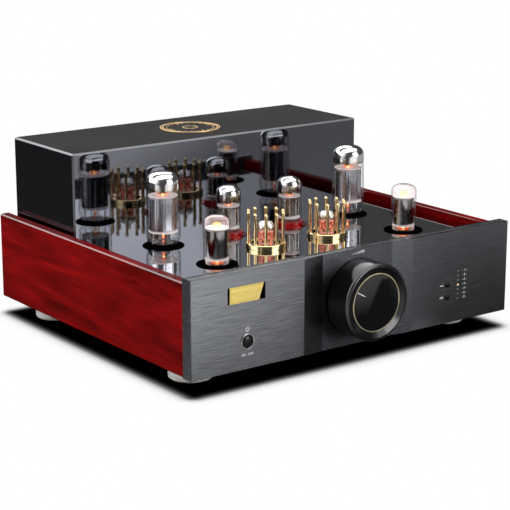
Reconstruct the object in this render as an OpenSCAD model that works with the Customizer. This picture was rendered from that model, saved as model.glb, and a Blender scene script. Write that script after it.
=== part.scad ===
// Tube amplifier: thick metal front panel, lacquered wooden cheeks, black deck with eight
// plug-in tubes, and a low black cover over the transformers.
// Case coordinates, used by every module: X to the right, Y back from the face of the front
// panel, Z up from the floor. in_case() moves them to the part's origin, which is the centre
// of its outer box at floor level.

/* [Case] */
// Width of the front panel
panel_w = 420; // [412:1:440]
// Height of the front panel
panel_h = 101; // [98:1:110]
// Thickness of the front panel
panel_t = 13.5; // [12.5:0.5:16]
// Chamfer along the front panel's edges
panel_edge = 0.8; // [0.3:0.1:1.5]
// Depth of the case, from the face of the front panel to the rear panel
case_d = 378.6; // [374:0.2:400]
// Height of the feet
foot_h = 18.4; // [16:0.2:24]
// Radius of a foot
foot_r = 23; // [20:0.5:26]
// Distance of the feet from the front panel's ends
foot_in = 39; // [36:1:50]
// Distance of the front feet behind the face
foot_front = 57.8; // [50:0.2:64]
// Distance of the rear feet in front of the back
foot_back = 52.1; // [46:0.1:60]
// Thickness of a wooden side panel
side_t = 11; // [9:0.5:14]
// Step from the front panel's end in to the side panel's outer face
side_inset = 0.5; // [0:0.1:1.5]
// Step from the front panel's top edge down to the side panel's
side_drop = 4.8; // [2:0.1:8]
// Step from the front panel's bottom edge up to the side panel's
side_lift = 0.5; // [0.3:0.1:2]
// Chamfer along the side panels' edges
side_edge = 1.2; // [0.5:0.1:2.5]
// Step from the front panel's top edge down to the deck
deck_drop = 12.5; // [9:0.1:14]
// Thickness of the deck
deck_t = 3; // [2.5:0.1:4]
// Thickness of the chassis sheet
sheet_t = 1.5; // [1.2:0.1:2]
// Width of the flanges round the chassis openings
flange_w = 14; // [12:0.5:16]
// Thickness of the bottom plate
bottom_t = 2; // [1.5:0.1:3]
// Thickness of the rear panel
rear_t = 2; // [1.5:0.1:3]

/* [Dish in the front panel] */
// Width of the dish at the panel's face
dish_w = 144.4; // [130:0.2:160]
// Width of its flat floor
dish_floor_w = 92; // [88:0.5:100]
// Depth of the dish
dish_deep = 3.5; // [2:0.1:4.5]

/* [Transformer cover] */
// Step from the front panel's end in to the cover's side
cover_in = 16.6; // [15:0.1:22]
// Depth of the cover
cover_d = 128.2; // [122:0.2:134]
// Room between the transformers and the top of the cover
cover_room = 8.6; // [6:0.5:24]
// Gap between the cover and the back of the case
cover_back = 8; // [5:0.5:12]
// Wall of the cover
cover_wall = 2; // [1.5:0.1:3]
// Chamfer along the cover's edges
cover_edge = 1.8; // [0.8:0.1:3]
// Outer radius of the ring on top
badge_r = 34.7; // [30:0.1:40]
// Width of each of the ring's two bands
badge_band = 1; // [0.6:0.1:1.5]
// Gap between the two bands
badge_gap = 1.6; // [1:0.1:2.5]
// Height of the ring
badge_h = 0.4; // [0.2:0.1:0.8]

/* [Volume knob] */
// Radius of the knob
knob_r = 40.7; // [38:0.1:43]
// How far the knob stands out from the panel's face
knob_out = 28.5; // [24:0.5:34]
// Gap between the knob and the floor of the dish
knob_gap = 1.5; // [0.8:0.1:2]
// Height of the knob's axis above the floor
knob_z = 68.5; // [64:0.5:72]
// Rounding of the knob's front edge
knob_round = 3.2; // [1:0.1:4]
// Depth of the conical dish in its front
knob_cone = 1.9; // [1:0.1:3]
// Outer radius of the bright ring
ring_r = 30.8; // [28:0.1:33]
// Width of the bright ring
ring_w = 1.2; // [0.8:0.1:2]
// Thickness of the ring and the disc inside it
face_t = 2; // [1.5:0.1:3]
// Angle of the pointer, anticlockwise from three o'clock
pointer_a = 150; // [90:1:240]
// Length of the pointer
pointer_l = 11.5; // [8:0.5:16]
// Width of the pointer
pointer_w = 1; // [0.6:0.1:1.6]

/* [Volume pot] */
// Radius of the shaft
shaft_r = 3; // [2.5:0.1:3.2]
// Running gap round shafts, buttons and screws of posts
run_gap = 0.08; // [0.05:0.01:0.1]
// Radius of the threaded bushing
bushing_r = 5; // [4.5:0.1:5.5]
// Radius of the pot's can
pot_r = 14; // [12.5:0.5:16]
// Length of the pot's can
pot_l = 24; // [20:0.5:28]

/* [Buttons and lights] */
// Distance of the power button from the panel's left end
power_in = 67.4; // [62:0.2:72]
// Height of the power button
power_z = 47.2; // [45:0.2:52]
// Radius of the power button
power_r = 6.4; // [5.5:0.1:7]
// Width of the bezel round it
bezel_w = 1.6; // [1.2:0.1:2.4]
// Travel of the power button
power_travel = 3; // [2:0.1:3.4]
// Radius of the small buttons
small_r = 2.95; // [2.5:0.05:3.2]
// Distance of the small buttons from the panel's right end
small_in = 87.5; // [86:0.1:89]
// Height of the upper small button
small_high = 61.4; // [60:0.2:64]
// Distance between the small buttons
small_pitch = 13.9; // [12:0.1:16]
// Travel of the small buttons
small_travel = 1.5; // [0.8:0.1:1.7]
// Distance of the column of lights from the panel's right end
led_in = 72.8; // [71:0.2:75]
// Height of the top light
led_high = 74.2; // [72:0.2:75]
// Distance between two lights
led_pitch = 5; // [4.5:0.1:5.2]
// Number of lights
led_n = 7; // [5:1:7]
// Radius of a light
led_r = 1.1; // [0.8:0.05:1.4]

/* [Name plate] */
// Distance of the plate's middle from the panel's left end
plate_in = 66.4; // [62:0.2:70]
// Distance of the plate's middle from the panel's top edge
plate_down = 23.1; // [20:0.1:27]
// Length of the pocket that holds the plate
plate_w = 45.6; // [40:0.2:50]
// Height of the plate
plate_h = 16.6; // [14:0.2:20]
// Thickness of the plate
plate_t = 1.8; // [1.4:0.1:2.4]
// Depth of the pocket
pocket_t = 1.2; // [0.8:0.1:1.2]

/* [Tube places] */
// Power tubes, in from the front panel's ends
power_tube_in = 84; // [80:0.5:95]
// Power tubes, behind the face
power_tube_y = 173; // [168:0.5:182]
// Driver tubes, right and left of the middle
driver_x = 41.6; // [36:0.1:46]
// Driver tubes, behind the face
driver_y = 173; // [168:0.5:182]
// Rectifier tubes, in from the front panel's ends
rectifier_in = 85; // [80:0.5:94]
// Rectifier tubes, behind the face
rectifier_y = 76.1; // [74:0.1:88]
// Input tubes, right and left of the middle
input_x = 41.1; // [38:0.1:46]
// Input tubes, behind the face
input_y = 105.9; // [100:0.1:112]

/* [Tube sizes, above the deck] */
// Largest radius of the power tube's glass
power_low_r = 18.4; // [17:0.1:19]
// Radius of its glass below the dome
power_top_r = 17.4; // [15:0.1:18]
// Height of the power tube
power_h = 80; // [70:0.5:95]
// Radius of the driver tube's glass
driver_r = 13.5; // [12:0.1:14.5]
// Height of the driver tube
driver_h = 54.5; // [48:0.5:60]
// Height of the driver tube's base
driver_base_h = 4.2; // [3:0.1:8]
// Radius of the rectifier tube's glass
rectifier_r = 13.7; // [12:0.1:14.5]
// Height of the rectifier tube
rectifier_h = 51.5; // [46:0.5:58]
// Radius of the input tube's glass
input_r = 9.3; // [8.5:0.1:10]
// Height of the input tube
input_h = 28; // [25:0.5:34]
// Wall of the glass
glass_t = 1; // [0.8:0.1:1.2]
// Squareness of the shoulders of the tubes' domes; 2 is round
dome_square = 2.6; // [2:0.1:3]
// Radius of the power tube's base
power_base_r = 16.4; // [15.5:0.1:17]
// Radius of the base of a driver or rectifier tube
small_base_r = 15.4; // [14.5:0.1:16]

/* [Sockets and cages] */
// Gap between a tube's base and its socket
base_gap = 0.5; // [0.3:0.1:1]
// Depth of a base inside its socket, below the deck's top
base_deep = 10.5; // [8:0.5:12]
// Depth of a socket below the deck
socket_deep = 22; // [20:0.5:26]
// Wall of a socket
socket_wall = 4; // [3:0.1:5]
// Height of the black rings round the tubes
trim_h = 0.9; // [0.5:0.1:1.5]
// Outer radius of the ring round a power tube
power_trim_r = 22.2; // [21:0.1:24]
// Outer radius of the ring round a rectifier tube
rectifier_trim_r = 21.4; // [20:0.1:23]
// Outer radius of the ring round a driver tube
driver_trim_r = 20.1; // [19:0.1:22]
// Outer radius of a cage's ring
cage_r = 21.7; // [20.5:0.1:23]
// Inner radius of a cage's ring
cage_in_r = 15.6; // [14.5:0.1:16]
// Height of a cage's ring
cage_ring_h = 5.2; // [3:0.1:6]
// Height of a cage
cage_h = 39; // [36:0.5:46]
// Number of posts in a cage
cage_n = 10; // [8:1:12]
// Radius of a post
post_r = 1.65; // [1.2:0.05:1.8]
// Radius of the ball on a post
post_ball_r = 1.95; // [1.6:0.05:2.2]

/* [Rear connectors] */
// Height of the connectors above the middle of the rear panel
rear_up = 2.35; // [0:0.05:4]
// How far the speaker posts stand out at the back
speaker_out = 24; // [20:0.5:28]
// Radius of a speaker post's cap
speaker_cap_r = 7.4; // [6.5:0.1:8]
// Distance between the two posts of a channel
speaker_pitch = 24; // [19:0.5:26]
// Distance between neighbouring columns of jacks
jack_pitch = 24; // [18:0.5:26]
// Distance of the last column of jacks from the panel's end
jack_in = 44; // [40:1:50]
// Number of columns of jacks
jack_n = 5; // [3:1:5]
// Distance between the two rows of jacks
jack_rise = 26; // [20:0.5:30]
// Distance of the mains inlet from the panel's end
inlet_in = 60; // [56:0.5:64]
// How far the fuse drawer pulls out
fuse_travel = 16; // [10:0.5:17]

/* [Transformers] */
// Width of the mains transformer's core
mains_core_w = 100.8; // [90:0.3:105]
// Thickness of its stack
mains_stack = 56; // [44:1:62]
// Width of an output transformer's core
output_core_w = 84; // [72:0.3:90]
// Thickness of its stack
output_stack = 40; // [32:1:50]
// Distance of the output transformers from the panel's ends
output_in = 85; // [80:1:92]

/* [Hidden] */
$fn = 48;
over = 1;                 // how far a cut runs past a face
screw_gap = 0.15;         // gap round a screw in its hole

// Colours
black = [0.06, 0.06, 0.065];
dark_metal = [0.33, 0.34, 0.35];
steel = [0.62, 0.63, 0.65];
silver = [0.80, 0.80, 0.82];
gold = [0.83, 0.68, 0.32];
wood = [0.45, 0.05, 0.05];
red = [0.62, 0.05, 0.05];
board_green = [0.10, 0.35, 0.18];
clear = [0.85, 0.87, 0.90, 0.35];
ivory = [0.88, 0.86, 0.80];

// Case
base_z = foot_h;
wall_x = panel_w / 2 - side_inset - side_t;
deck_z = base_z + panel_h - deck_drop;
deck_under = deck_z - deck_t;
floor_in = base_z + bottom_t;
back_in = case_d - rear_t;
wall_in = panel_t + sheet_t;
front_y = -(case_d + speaker_out - knob_out) / 2;
cover_y = case_d - cover_back - cover_d / 2;
cover_w = panel_w - 2 * cover_in;
cover_h = mains_core_w * 5 / 6 + cover_room + cover_wall;
foot_x = panel_w / 2 - foot_in;
foot_back_y = case_d - foot_back;
pad_r = foot_r - 5;
pad_t = 3;
pad_out = 1;
foot_round = 3;
fit_slit = 0.1;           // gap between plates that lie side by side

// Knob and pot
knob_back = dish_deep - knob_gap;
cone_y = knob_cone - knob_out;
face_back = cone_y + face_t;
rim_r = knob_r - knob_round;
disc_r = ring_r - ring_w - 0.05;
shaft_front = face_back + 2.5;
nut_t = 3;
nut_room = 5.5;
nut_r = 8.5;
bushing_front = panel_t - nut_t - 2;
shaft_back = wall_in + 17;

// Buttons
power_x = panel_w / 2 - power_in;
small_x = panel_w / 2 - small_in;
led_x = panel_w / 2 - led_in;
bezel_r = power_r + bezel_w;
bezel_deep = 1.5;
bezel_out = 1;
power_front = -2.6;
power_back = 6;
stem_r = 2.5;
switch_gap = 7;
switch_front = wall_in + switch_gap;
switch_size = 16;
switch_l = 20;
stem_back = switch_front + 4;
board_gap = 7;
board_y = wall_in + board_gap;
board_t = 1.6;
board_side = 10;
spacer_in = 3;
spacer_r = 2.4;
small_front = -1.6;
small_flange_r = small_r + 1;
small_flange_front = panel_t + fit_slit;
plunger_front = wall_in + 2;
small_back = plunger_front - small_travel - 0.3;
board_margin = 6;
board_left = small_x - board_side;
board_right = led_x + board_side;
board_low = led_high - 6 * led_pitch - board_margin;
board_high = led_high + board_margin;
small_zs = [small_high, small_high - small_pitch];

// Name plate
plate_x = panel_w / 2 - plate_in;
plate_z = base_z + panel_h - plate_down;
plate_slit = 0.15;
plate_left = -plate_x - plate_w / 2 + 2.2;
plate_right = -plate_x + plate_w / 2 - 2.3;
plate_slant = 5;
plate_round = 2.4;

// Boards inside the case
output_x = panel_w / 2 - output_in;
main_in = 60;             // from each end of the front panel to the main board's end
main_w = panel_w - 2 * main_in;
main_front = 62;
main_rear = 48;           // from the back of the case to the board's rear edge
main_back = case_d - main_rear;
main_up = 26.6;           // height of the board over the case's underside
main_z = base_z + main_up;
main_top = main_z + board_t;
standoff_in = 10;
standoff_r = 3.5;
standoff_hole = 6;
standoff_x = main_w / 2 - standoff_in;
standoff_ys = [main_front + standoff_in, (main_front + main_back) / 2, main_back - standoff_in];
big_cap_n = 6;
big_cap_r = 15;
big_cap_h = 40;
big_cap_in = 55;          // from the board's rear edge to the row of big capacitors
big_cap_y = main_back - big_cap_in;
cap_pitch = 0.32 * output_x;  // the big row ends clear of the output transformers' leads
mid_cap_n = 4;
mid_cap_pitch = 1.5 * cap_pitch;
mid_cap_r = 9;
mid_cap_h = 30;
cap_row_gap = 45;         // from the big row to the middle one
mid_cap_y = big_cap_y - cap_row_gap;
film_cap = [12, 32, 22];
film_cap_in = 75;         // from the board's front edge to the film capacitors
film_cap_y = main_front + film_cap_in;
vent_w = 4;
vent_l = 50;
vent_pitch = 20;
vent_ys = [for (s = [-1, 1]) (panel_t + case_d) / 2 + s * 55];

// Tubes: [x, y] of the right one of each pair; the left one is its mirror image
power_at = [panel_w / 2 - power_tube_in, power_tube_y];
driver_at = [driver_x, driver_y];
rectifier_at = [panel_w / 2 - rectifier_in, rectifier_y];
input_at = [input_x, input_y];
power_micas = [power_h * 0.195, power_h * 0.676];
driver_micas = [driver_h * 0.146, driver_h * 0.589];
rectifier_micas = [rectifier_h * 0.11, rectifier_h * 0.73];
input_micas = [input_h * 0.145, input_h * 0.618];
mica_gap = 0.4;
mica_t = 0.6;
rod_r = 0.6;
power_plate = [power_top_r - 2.4, 10.5];
driver_plate = [driver_r - 2.6, 6.5];
rectifier_plate = [rectifier_r - 2.2, 9.5];
input_plate = [input_r - 2.3, 5];
octal_pin_r = 1.18;
octal_circle_r = 8.73;
octal_pin_l = 11;
key_r = 3.9;
key_l = 13;
mini_pin_r = 0.5;
mini_circle_r = 4.77;
mini_pin_l = 7;
pin_gap = 0.1;
mini_socket_r = 11;
mini_socket_top = 0.6;
mini_glass_low = 1;
base_low = -base_deep;
cup_floor = base_low - 0.3;
power_base_h = 2;
rectifier_base_h = 0.6;
cage_post_circle = (cage_r + cage_in_r) / 2 + 0.55;
cage_step_w = 1.2;        // step round the foot of a cage's ring
cage_step_h = 0.7;
collar_h = 1;
collar_r = post_r + 0.3;

// Rear connectors
rear_z = (base_z + deck_z) / 2 + rear_up;
inlet_x = panel_w / 2 - inlet_in;
inlet_w = 50;
inlet_h = 42;
inlet_t = 2.5;
inlet_deep = 25;
inlet_rim = 2;
inlet_body_w = inlet_w - 2 * inlet_rim;
inlet_body_h = inlet_h - 2 * inlet_rim;
plug_w = 24.4;
plug_h = 16.6;
plug_deep = 16;
plug_down = 11;
plug_z = rear_z - plug_down;
blades = [[-7, -2], [7, -2], [0, 3.5]];
blade_w = 2;
blade_h = 4;
blade_in = 3;
fuse_up = 8.5;
fuse_z = rear_z + fuse_up;
fuse_w = 22.4;
fuse_h = 9;
fuse_deep = 19;
fuse_gap = 0.3;
fuse_lip = 1;
fuse_lip_t = 1.5;
speaker_mids = [-78, -18];
speaker_xs = [for (mid = speaker_mids, s = [-1, 1]) mid + s * speaker_pitch / 2];
speaker_nut_t = 3;
speaker_hole_r = 2.05;
stud_r = 3;
speaker_collar_t = 3.5;
speaker_neck_r = 4.3;
cap_back = case_d + speaker_out;
cap_front = case_d + speaker_collar_t + 2.5;
jack_first = panel_w / 2 - jack_in - (jack_n - 1) * jack_pitch;
jack_r = 4.15;
jack_out = 10.5;
jack_flange_r = 6;
jack_in_l = 10;
washer_t = 1.5;

// Screws
screw_r = 1.5;
head_r = 2.9;
head_t = 1.8;
foot_screw_r = 2.5;
foot_head_r = 4.5;

function mirrored(at) = [[-at[0], at[1]], at];

// Places of n things a step apart, about the middle
function row(n) = [for (i = [0:n - 1]) i - (n - 1) / 2];

module in_case() translate([0, front_y, 0]) children();

module both_sides() {
    children();
    mirror([1, 0, 0]) children();
}

// A box given by its lowest and highest corners
module box(low, high) translate(low) cube(high - low);

// A cylinder along Y from y = a to y = b
module rod_y(r, a, b, fn = 48) translate([0, a, 0]) rotate([-90, 0, 0]) cylinder(r = r, h = b - a, $fn = fn);

// A cylinder along Z from z = a to z = b
module rod_z(r, a, b, fn = 48) translate([0, 0, a]) cylinder(r = r, h = b - a, $fn = fn);

// A profile of radius and depth turned about the Y axis
module turn_y() rotate([-90, 0, 0]) rotate_extrude($fn = 96) children();

// A pan-head screw along -Z: the head's underside is at z = 0, the shank below it
module screw(r, l, hr, ht) {
    rod_z(r, -l, 0);
    rod_z(hr, 0, ht);
}

// ---------------------------------------------------------------- case

module tray_windows() {
    win_x = wall_x - flange_w;
    box([-wall_x + sheet_t, wall_in, floor_in + sheet_t],
        [wall_x - sheet_t, back_in - sheet_t, deck_under - sheet_t]);
    box([-win_x, wall_in + flange_w, floor_in - over], [win_x, back_in - flange_w, deck_under + over]);
    box([-win_x, back_in - flange_w, floor_in + flange_w],
        [win_x, back_in + over, deck_under - flange_w]);
}

module front_wall_holes() {
    translate([0, 0, knob_z]) rod_y(bushing_r + screw_gap, panel_t - over, wall_in + over);
    translate([-power_x, 0, power_z]) rod_y(stem_r + 1, panel_t - over, wall_in + over);
    for (z = small_zs) translate([small_x, 0, z])
        rod_y(small_flange_r + 0.6, panel_t - over, wall_in + over);
    for (z = led_zs) translate([led_x, 0, z]) rod_y(led_r + 0.2, panel_t - over, wall_in + over);
}

module chassis_tray() color(steel) in_case() difference() {
    box([-wall_x, panel_t, floor_in], [wall_x, back_in, deck_under]);
    tray_windows();
    front_wall_holes();
    for (x = tab_xs, s = [-1, 1]) translate([x, cover_y + s * tab_y, 0])
        rod_z(head_r + 1, deck_under - sheet_t - over, deck_under + over, 32);
    screw_cuts();
}

module bottom_plate() color(dark_metal) in_case() difference() {
    box([-wall_x + fit_slit, panel_t, base_z], [wall_x - fit_slit, case_d, floor_in]);
    for (i = [-5.5:1:5.5], y = vent_ys) translate([i * vent_pitch, y, 0])
        box([-vent_w / 2, -vent_l / 2, base_z - over], [vent_w / 2, vent_l / 2, floor_in + over]);
    screw_cuts();
}

module top_deck() color(black) in_case() difference() {
    box([-wall_x + fit_slit, panel_t, deck_under], [wall_x - fit_slit, case_d, deck_z]);
    for (at = mirrored(power_at)) deck_hole(at, power_base_r + base_gap);
    for (at = concat(mirrored(driver_at), mirrored(rectifier_at))) deck_hole(at, small_base_r + base_gap);
    for (at = mirrored(input_at)) deck_hole(at, mini_socket_r + fit_slit);
    for (w = lead_wires) deck_hole([w[0][0], w[0][1]], 4);
    screw_cuts();
}

module deck_hole(at, r) translate([at[0], at[1], 0]) rod_z(r, deck_under - over, deck_z + over, 64);

module rear_panel() color(dark_metal) in_case() difference() {
    box([-wall_x + fit_slit, back_in, floor_in], [wall_x - fit_slit, case_d, deck_under]);
    box([-inlet_x - inlet_body_w / 2 - 0.3, back_in - over, rear_z - inlet_body_h / 2 - 0.3],
        [-inlet_x + inlet_body_w / 2 + 0.3, case_d + over, rear_z + inlet_body_h / 2 + 0.3]);
    for (x = speaker_xs) translate([x, 0, rear_z])
        rod_y(speaker_neck_r + screw_gap, back_in - over, case_d + over);
    for (p = jack_places) translate([p[0], 0, p[1]])
        rod_y(jack_r + screw_gap, back_in - over, case_d + over);
    screw_cuts();
}

module side_panel_right_shape() {
    out_x = panel_w / 2 - side_inset;
    low = base_z + side_lift;
    high = base_z + panel_h - side_drop;
    translate([0, case_d, 0]) rotate([90, 0, 0]) linear_extrude(case_d - panel_t) polygon([
        [wall_x, low], [out_x - side_edge, low], [out_x, low + side_edge],
        [out_x, high - side_edge], [out_x - side_edge, high], [wall_x + side_edge / 2, high],
        [wall_x, high - side_edge / 2]]);
}

module side_panel_left() color(wood) in_case() difference() {
    mirror([1, 0, 0]) side_panel_right_shape();
    screw_cuts();
}

module side_panel_right() color(wood) in_case() difference() {
    side_panel_right_shape();
    screw_cuts();
}

// ---------------------------------------------------------------- front panel

module panel_plan() {
    e = panel_edge;
    half = panel_w / 2;
    polygon([[-half, panel_t], [-half, e], [-half + e, 0], [-dish_w / 2, 0],
        [-dish_floor_w / 2, dish_deep], [dish_floor_w / 2, dish_deep], [dish_w / 2, 0],
        [half - e, 0], [half, e], [half, panel_t]]);
}

module panel_side_view() {
    e = panel_edge;
    polygon([[panel_t, base_z], [e, base_z], [0, base_z + e], [0, base_z + panel_h - e],
        [e, base_z + panel_h], [panel_t, base_z + panel_h]]);
}

module panel_blank() intersection() {
    translate([0, 0, base_z]) linear_extrude(panel_h) panel_plan();
    translate([-panel_w / 2, 0, 0]) rotate([90, 0, 90]) linear_extrude(panel_w) panel_side_view();
}

module plate_pocket() box(
    [-plate_x - plate_w / 2, -over, plate_z - plate_h / 2 - plate_slit],
    [-plate_x + plate_w / 2, pocket_t, plate_z + plate_h / 2 + plate_slit]);

module front_panel() color(dark_metal) in_case() difference() {
    panel_blank();
    translate([0, 0, knob_z]) {
        rod_y(shaft_r + 1, -over, panel_t + over);
        rod_y(nut_r + 2.5, panel_t - nut_room, panel_t + over);
    }
    translate([-power_x, 0, power_z]) {
        rod_y(bezel_r + 0.05, -over, bezel_deep);
        rod_y(power_r + 0.4, -over, panel_t + over);
    }
    for (z = small_zs) translate([small_x, 0, z]) rod_y(small_r + run_gap, -over, panel_t + over);
    for (z = led_zs) translate([led_x, 0, z]) rod_y(led_r + 0.1, -over, panel_t + over, 24);
    plate_pocket();
    screw_cuts();
}

module name_plate() color(gold) in_case() {
    low = plate_z - plate_h / 2;
    high = plate_z + plate_h / 2;
    corner = [plate_right - plate_slant - plate_round, low + plate_round];
    translate([0, pocket_t, 0]) rotate([90, 0, 0]) linear_extrude(plate_t) {
        polygon([[plate_left, low], [corner[0], low], corner,
            [corner[0] + plate_round, corner[1]], [plate_right, high], [plate_left, high]]);
        translate(corner) circle(r = plate_round, $fn = 40);
    }
}

module power_bezel() color(silver) in_case() translate([-power_x, 0, power_z]) turn_y() polygon([
    [power_r + run_gap, bezel_deep], [bezel_r, bezel_deep], [bezel_r, 0.2 - bezel_out],
    [bezel_r - 0.3, -bezel_out], [power_r + run_gap + 0.9, -bezel_out], [power_r + run_gap, -0.2]]);

// ---------------------------------------------------------------- knob, pot and buttons

// Quarter round from [r, y] on the side to [r - c, y - c] on the front
function quarter(r, y, c, n = 8) = [for (i = [0:n])
    [r - c + c * cos(90 * i / n), y - c * sin(90 * i / n)]];

module knob_body() color(black) in_case() translate([0, 0, knob_z]) turn_y() polygon(concat(
    [[shaft_r + 0.02, knob_back - 2], [shaft_r + 7, knob_back - 2], [shaft_r + 7, -10],
     [knob_r - 6, -10], [knob_r - 6, knob_back], [knob_r, knob_back]],
    quarter(knob_r, knob_round - knob_out, knob_round),
    [[rim_r - 0.4, -knob_out], [ring_r + 0.05, cone_y], [ring_r + 0.05, face_back],
     [0, face_back], [0, shaft_front - 0.2], [shaft_r + 0.02, shaft_front - 0.2]]));

module knob_ring() color(gold) in_case() translate([0, 0, knob_z]) turn_y() polygon([
    [ring_r - ring_w, face_back], [ring_r, face_back], [ring_r, cone_y],
    [ring_r - 0.3, cone_y - 0.25], [ring_r - ring_w + 0.3, cone_y - 0.25], [ring_r - ring_w, cone_y]]);

module knob_disc() color(black) in_case() translate([0, 0, knob_z]) difference() {
    rod_y(disc_r, cone_y + 0.1, face_back, 96);
    rotate([0, -pointer_a, 0])
        box([disc_r - pointer_l - 1, cone_y - over, -pointer_w / 2],
            [disc_r - 1, cone_y + 0.5, pointer_w / 2]);
}

module pot_shaft() color(steel) in_case() translate([0, 0, knob_z]) rod_y(shaft_r, shaft_front, shaft_back);

module volume_pot() color(steel) in_case() translate([0, 0, knob_z]) difference() {
    union() {
        rod_y(pot_r, wall_in, wall_in + pot_l);
        rod_y(bushing_r, bushing_front, wall_in + 1);
        translate([0, panel_t, 0]) rotate([90, 0, 0]) cylinder(r = nut_r, h = nut_t, $fn = 6);
    }
    rod_y(shaft_r + run_gap, bushing_front - over, shaft_back + 1);
}

module power_button() color(black) in_case() translate([-power_x, 0, power_z]) {
    turn_y() polygon(concat([[0, power_back], [power_r, power_back], [power_r, -0.8]],
        [for (i = [1:7]) [power_r * cos(90 * i / 7), -0.8 + (power_front + 0.8) * sin(90 * i / 7)]]));
    rod_y(stem_r, power_back - 0.5, stem_back);
}

module small_button(z) color(black) in_case() translate([small_x, 0, z]) {
    turn_y() polygon(concat([[0, small_back], [small_r, small_back], [small_r, -0.6]],
        [for (i = [1:6]) [small_r * cos(90 * i / 6), -0.6 + (small_front + 0.6) * sin(90 * i / 6)]]));
    rod_y(small_flange_r, small_flange_front, small_back);
}

module upper_button() small_button(small_zs[0]);
module lower_button() small_button(small_zs[1]);

module power_switch() translate([-power_x, 0, power_z]) difference() {
    half = switch_size / 2;
    union() {
        box([-half, switch_front, -half], [half, switch_front + switch_l, half]);
        for (s = [-1, 1]) translate([s * (half - 1.5), 0, 0])
            box([-1.5, wall_in, -half], [1.5, switch_front + 1, half]);
    }
    rod_y(stem_r + run_gap, wall_in - over, stem_back + power_travel + 1);
}

module switches() color(black) in_case() {
    power_switch();
    for (z = small_zs) translate([small_x, 0, z]) {
        box([-3, plunger_front + 1.5, -3], [3, board_y, 3]);
        rod_y(1.75, plunger_front, plunger_front + 1.6);
    }
}

led_zs = [for (i = [0:led_n - 1]) led_high - i * led_pitch];

module indicator_lights() color([0.95, 0.65, 0.25]) in_case() for (z = led_zs) translate([led_x, 0, z]) {
    rod_y(led_r, 0, board_y, 24);
    intersection() {
        sphere(r = led_r, $fn = 24);
        box([-2, -2, -2], [2, 0.1, 2]);
    }
}

module front_board() color(board_green) in_case()
    box([board_left, board_y, board_low], [board_right, board_y + board_t, board_high]);

// ---------------------------------------------------------------- boards

module main_board() color(board_green) in_case() difference() {
    box([-main_w / 2, main_front, main_z], [main_w / 2, main_back, main_top]);
    for (x = [-standoff_x, standoff_x], y = standoff_ys) translate([x, y, 0])
        rod_z(screw_r + screw_gap, main_z - over, main_top + over, 24);
}

module board_standoffs() color(steel) in_case() {
    for (x = [-standoff_x, standoff_x], y = standoff_ys) translate([x, y, 0]) difference() {
        rod_z(standoff_r, floor_in, main_z);
        rod_z(screw_r + screw_gap, main_z - standoff_hole, main_z + over, 24);
    }
    for (x = [board_left + spacer_in, board_right - spacer_in],
            z = [board_low + spacer_in, board_high - spacer_in])
        translate([x, 0, z]) rod_y(spacer_r, wall_in, board_y);
}

module capacitors() color([0.12, 0.16, 0.32]) in_case() {
    for (i = row(big_cap_n)) translate([i * cap_pitch, big_cap_y, 0])
        rod_z(big_cap_r, main_top, main_top + big_cap_h);
    for (i = row(mid_cap_n)) translate([i * mid_cap_pitch, mid_cap_y, 0]) {
        rod_z(mid_cap_r, main_top, main_top + mid_cap_h);
        translate([0, film_cap_y - mid_cap_y, main_top])
            box([-film_cap[0] / 2, -film_cap[1] / 2, 0], [film_cap[0] / 2, film_cap[1] / 2, film_cap[2]]);
    }
}

// ---------------------------------------------------------------- sockets and cages

module pin_circle(n, gap_n, r) for (i = [0:n - 1])
    rotate(360 * (i + 0.5) / (n + gap_n)) translate([r, 0, 0]) children();

module octal_socket(at, base_r) translate([at[0], at[1], deck_z]) difference() {
    rod_z(base_r + socket_wall, -deck_t - socket_deep, -deck_t);
    rod_z(base_r + base_gap, cup_floor, 0);
    pin_circle(8, 0, octal_circle_r) rod_z(octal_pin_r + pin_gap, base_low - octal_pin_l - 0.8, 0, 24);
    rod_z(key_r + 0.2, base_low - key_l - 0.8, 0, 32);
}

module mini_socket(at) translate([at[0], at[1], deck_z]) difference() {
    union() {
        rod_z(mini_socket_r, -deck_t - 8, mini_socket_top);
        rod_z(mini_socket_r + 4, -deck_t - 3, -deck_t);
    }
    pin_circle(7, 2, mini_circle_r) rod_z(mini_pin_r + pin_gap, mini_glass_low - mini_pin_l - 0.8, over, 20);
}

module tube_sockets() color(ivory) in_case() {
    for (at = mirrored(power_at)) octal_socket(at, power_base_r);
    for (at = concat(mirrored(driver_at), mirrored(rectifier_at))) octal_socket(at, small_base_r);
    for (at = mirrored(input_at)) mini_socket(at);
}

module trim_ring(at, in_r, out_r) translate([at[0], at[1], deck_z]) rotate_extrude($fn = 96) polygon([
    [in_r, 0], [out_r, 0], [out_r, trim_h - 0.3], [out_r - 0.3, trim_h],
    [in_r + 0.2, trim_h], [in_r, trim_h - 0.2]]);

module socket_rings() color(black) in_case() {
    for (at = mirrored(power_at)) trim_ring(at, power_base_r + base_gap, power_trim_r);
    for (at = mirrored(driver_at)) trim_ring(at, small_base_r + base_gap, driver_trim_r);
    for (at = mirrored(rectifier_at)) trim_ring(at, small_base_r + base_gap, rectifier_trim_r);
    for (at = mirrored(input_at)) trim_ring(at, mini_socket_r + 0.2, cage_in_r - 0.2);
}

module cage_rings() color(gold) in_case() for (at = mirrored(input_at)) translate([at[0], at[1], deck_z])
    rotate_extrude($fn = 96) polygon([[cage_in_r, 0], [cage_r - cage_step_w, 0],
        [cage_r - cage_step_w, cage_step_h], [cage_r, cage_step_h], [cage_r, cage_ring_h - 0.6],
        [cage_r - 0.6, cage_ring_h], [cage_in_r + 0.5, cage_ring_h], [cage_in_r, cage_ring_h - 0.5]]);

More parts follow.
